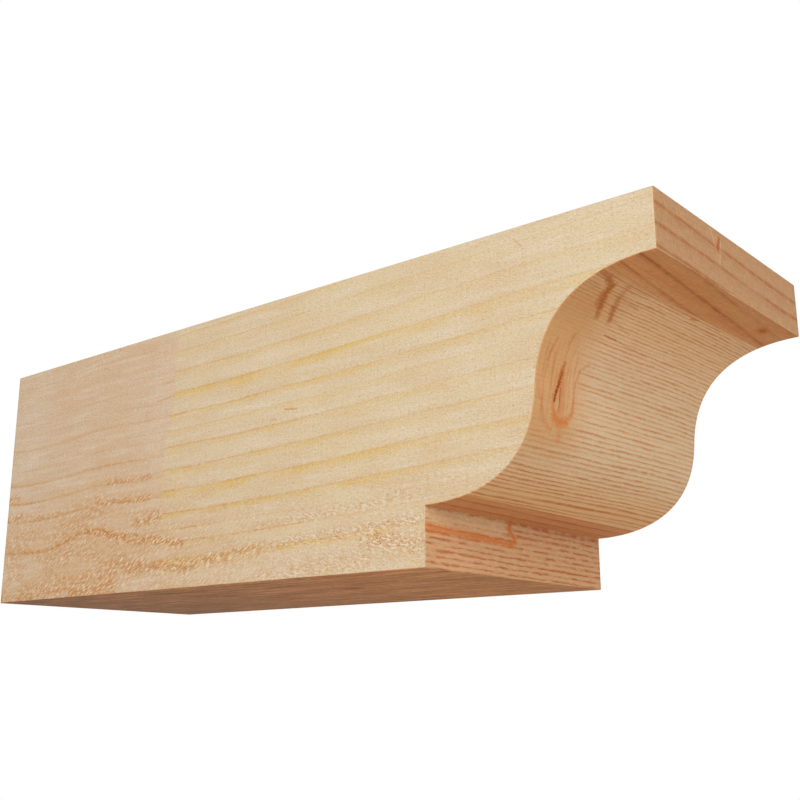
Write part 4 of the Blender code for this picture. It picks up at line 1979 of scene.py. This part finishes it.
@dataclass(frozen=True)
class Studio:
    """Plain soft light, a plain pale floor and the camera, which looks up at the nose end."""

    eye: tuple[float, float, float] = (0.413437, -0.462028, -0.049634)
    azimuth: float = math.radians(39.98)
    upward: float = math.radians(14.91)
    lens: float = 50.155
    sensor: float = 36.0
    shift: Point = (0.01205, -0.01423)
    floor_level: float = -0.35
    floor_radius: float = 2.5
    floor_rim: int = 96
    floor_tone: Colour = tone(236, 234, 230)
    floor_roughness: float = 0.9
    floor_gloss: float = 0.2
    sky: float = 0.362
    white: Colour = (1.0, 1.0, 1.0, 1.0)
    softboxes: tuple[Softbox, ...] = (
        Softbox("key", (1.1, -2.1, 0.9), 41.0),
        Softbox("fill", (2.4, 0.3, 0.2), 16.0),
        Softbox("rear", (-1.6, 2.0, 1.3), 10.0),
    )

    def set_camera(self) -> None:
        """Place the camera and make it the scene's own."""
        camera = bpy.data.cameras.new("camera")
        camera.lens = self.lens
        camera.sensor_width = self.sensor
        camera.sensor_fit = "HORIZONTAL"
        camera.shift_x, camera.shift_y = self.shift
        camera.clip_start = 0.01
        holder = bpy.data.objects.new("camera", camera)
        holder.location = self.eye
        holder.rotation_euler = (math.pi / 2 + self.upward, 0.0, self.azimuth)
        bpy.context.collection.objects.link(holder)
        bpy.context.scene.camera = holder
        log.info("camera at %s", self.eye)

    def lay_floor(self) -> None:
        """Lay the floor, a pale disc well below the timber, which hangs from the building."""
        shape = bmesh.new()
        bmesh.ops.create_circle(shape, cap_ends=True, radius=self.floor_radius, segments=self.floor_rim)
        bmesh.ops.translate(shape, verts=shape.verts, vec=(0.0, 0.0, self.floor_level))
        mesh = bpy.data.meshes.new("floor")
        shape.to_mesh(mesh)
        shape.free()
        paint = bpy.data.materials.new("pale floor")
        paint.use_nodes = True
        surface = paint.node_tree.nodes["Principled BSDF"]
        surface.inputs["Base Color"].default_value = self.floor_tone
        surface.inputs["Roughness"].default_value = self.floor_roughness
        surface.inputs["Specular IOR Level"].default_value = self.floor_gloss
        mesh.materials.append(paint)
        floor = bpy.data.objects.new("floor", mesh)
        bpy.context.collection.objects.link(floor)
        log.info("floor at %.2f m", self.floor_level)

    def light(self) -> None:
        """Hang the softboxes and set the sky, which is white only to the camera."""
        for softbox in self.softboxes:
            softbox.hang()
        world = bpy.data.worlds.new("studio")
        world.use_nodes = True
        world.node_tree.nodes.clear()
        desk = NodeDesk(world.node_tree)
        lit = desk.node("ShaderNodeBackground")
        desk.plug(lit, {"Color": self.white, "Strength": self.sky})
        seen = desk.node("ShaderNodeBackground")
        desk.plug(seen, {"Color": self.white})
        to_camera = desk.node("ShaderNodeLightPath").outputs["Is Camera Ray"]
        mix = desk.node("ShaderNodeMixShader")
        desk.plug(mix, {0: to_camera, 1: lit.outputs[0], 2: seen.outputs[0]})
        desk.plug(desk.node("ShaderNodeOutputWorld"), {"Surface": mix.outputs[0]})
        bpy.context.scene.world = world
        bpy.context.scene.view_settings.view_transform = "Standard"
        log.info("softboxes and sky set")


@dataclass
class Timber:
    """The rafter tail: one sawn timber with its relief and its finish."""

    section: Section
    relief: SawnRelief
    finish: SawnSoftwood

    def build(self) -> bpy.types.Object:
        """Build the timber as a plain mesh, and let it stand for the CAD node."""
        blank = bpy.data.objects.new("timber", TimberBlank(self.section).mesh())
        bpy.context.collection.objects.link(blank)
        log.info("blank: %d faces", len(blank.data.polygons))
        cutter = blank.modifiers.new("relief", "NODES")
        cutter.node_group = self.relief.tree(self.finish.reach)
        items = cutter.node_group.interface.items_tree
        sockets = {item.name: item.identifier for item in items if item.in_out == "INPUT"}
        for face, material in self.finish.materials().items():
            cutter[sockets[material_input(face)]] = material
        for name, value in self.relief.inputs().items():
            cutter[sockets[name]] = value
        bpy.context.view_layer.update()
        evaluated = blank.evaluated_get(bpy.context.evaluated_depsgraph_get())
        carved = bpy.data.meshes.new_from_object(evaluated)
        blank.modifiers.remove(cutter)
        plain = blank.data
        blank.data = carved
        bpy.data.meshes.remove(plain)
        carved.name = "timber"
        for name in ("run", "room", "kind"):
            carved.attributes.remove(carved.attributes[name])
        carved.calc_loop_triangles()
        log.info("timber: %d triangles", len(carved.loop_triangles))
        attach(blank, BODY)
        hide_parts(NODE)
        return blank


def corners(box: tuple[Vector, Vector]) -> list[list[float]]:
    """A box's lowest and highest corner as plain lists."""
    return [list(corner) for corner in box]


def main() -> None:
    """Build the timber and the studio."""
    logging.basicConfig(level=logging.INFO, format="%(name)s: %(message)s")
    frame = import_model()
    section = Section.of(frame["nodes"][NODE])
    reach = section.front_reach()
    finish = SawnSoftwood(side=SIDE_TONES, front=FRONT_TONES, plain=PLAIN_TONES, reach=reach)
    Timber(section, SawnRelief(), finish).build()
    studio = Studio()
    studio.set_camera()
    studio.lay_floor()
    studio.light()


if __name__ == "__main__":
    main()
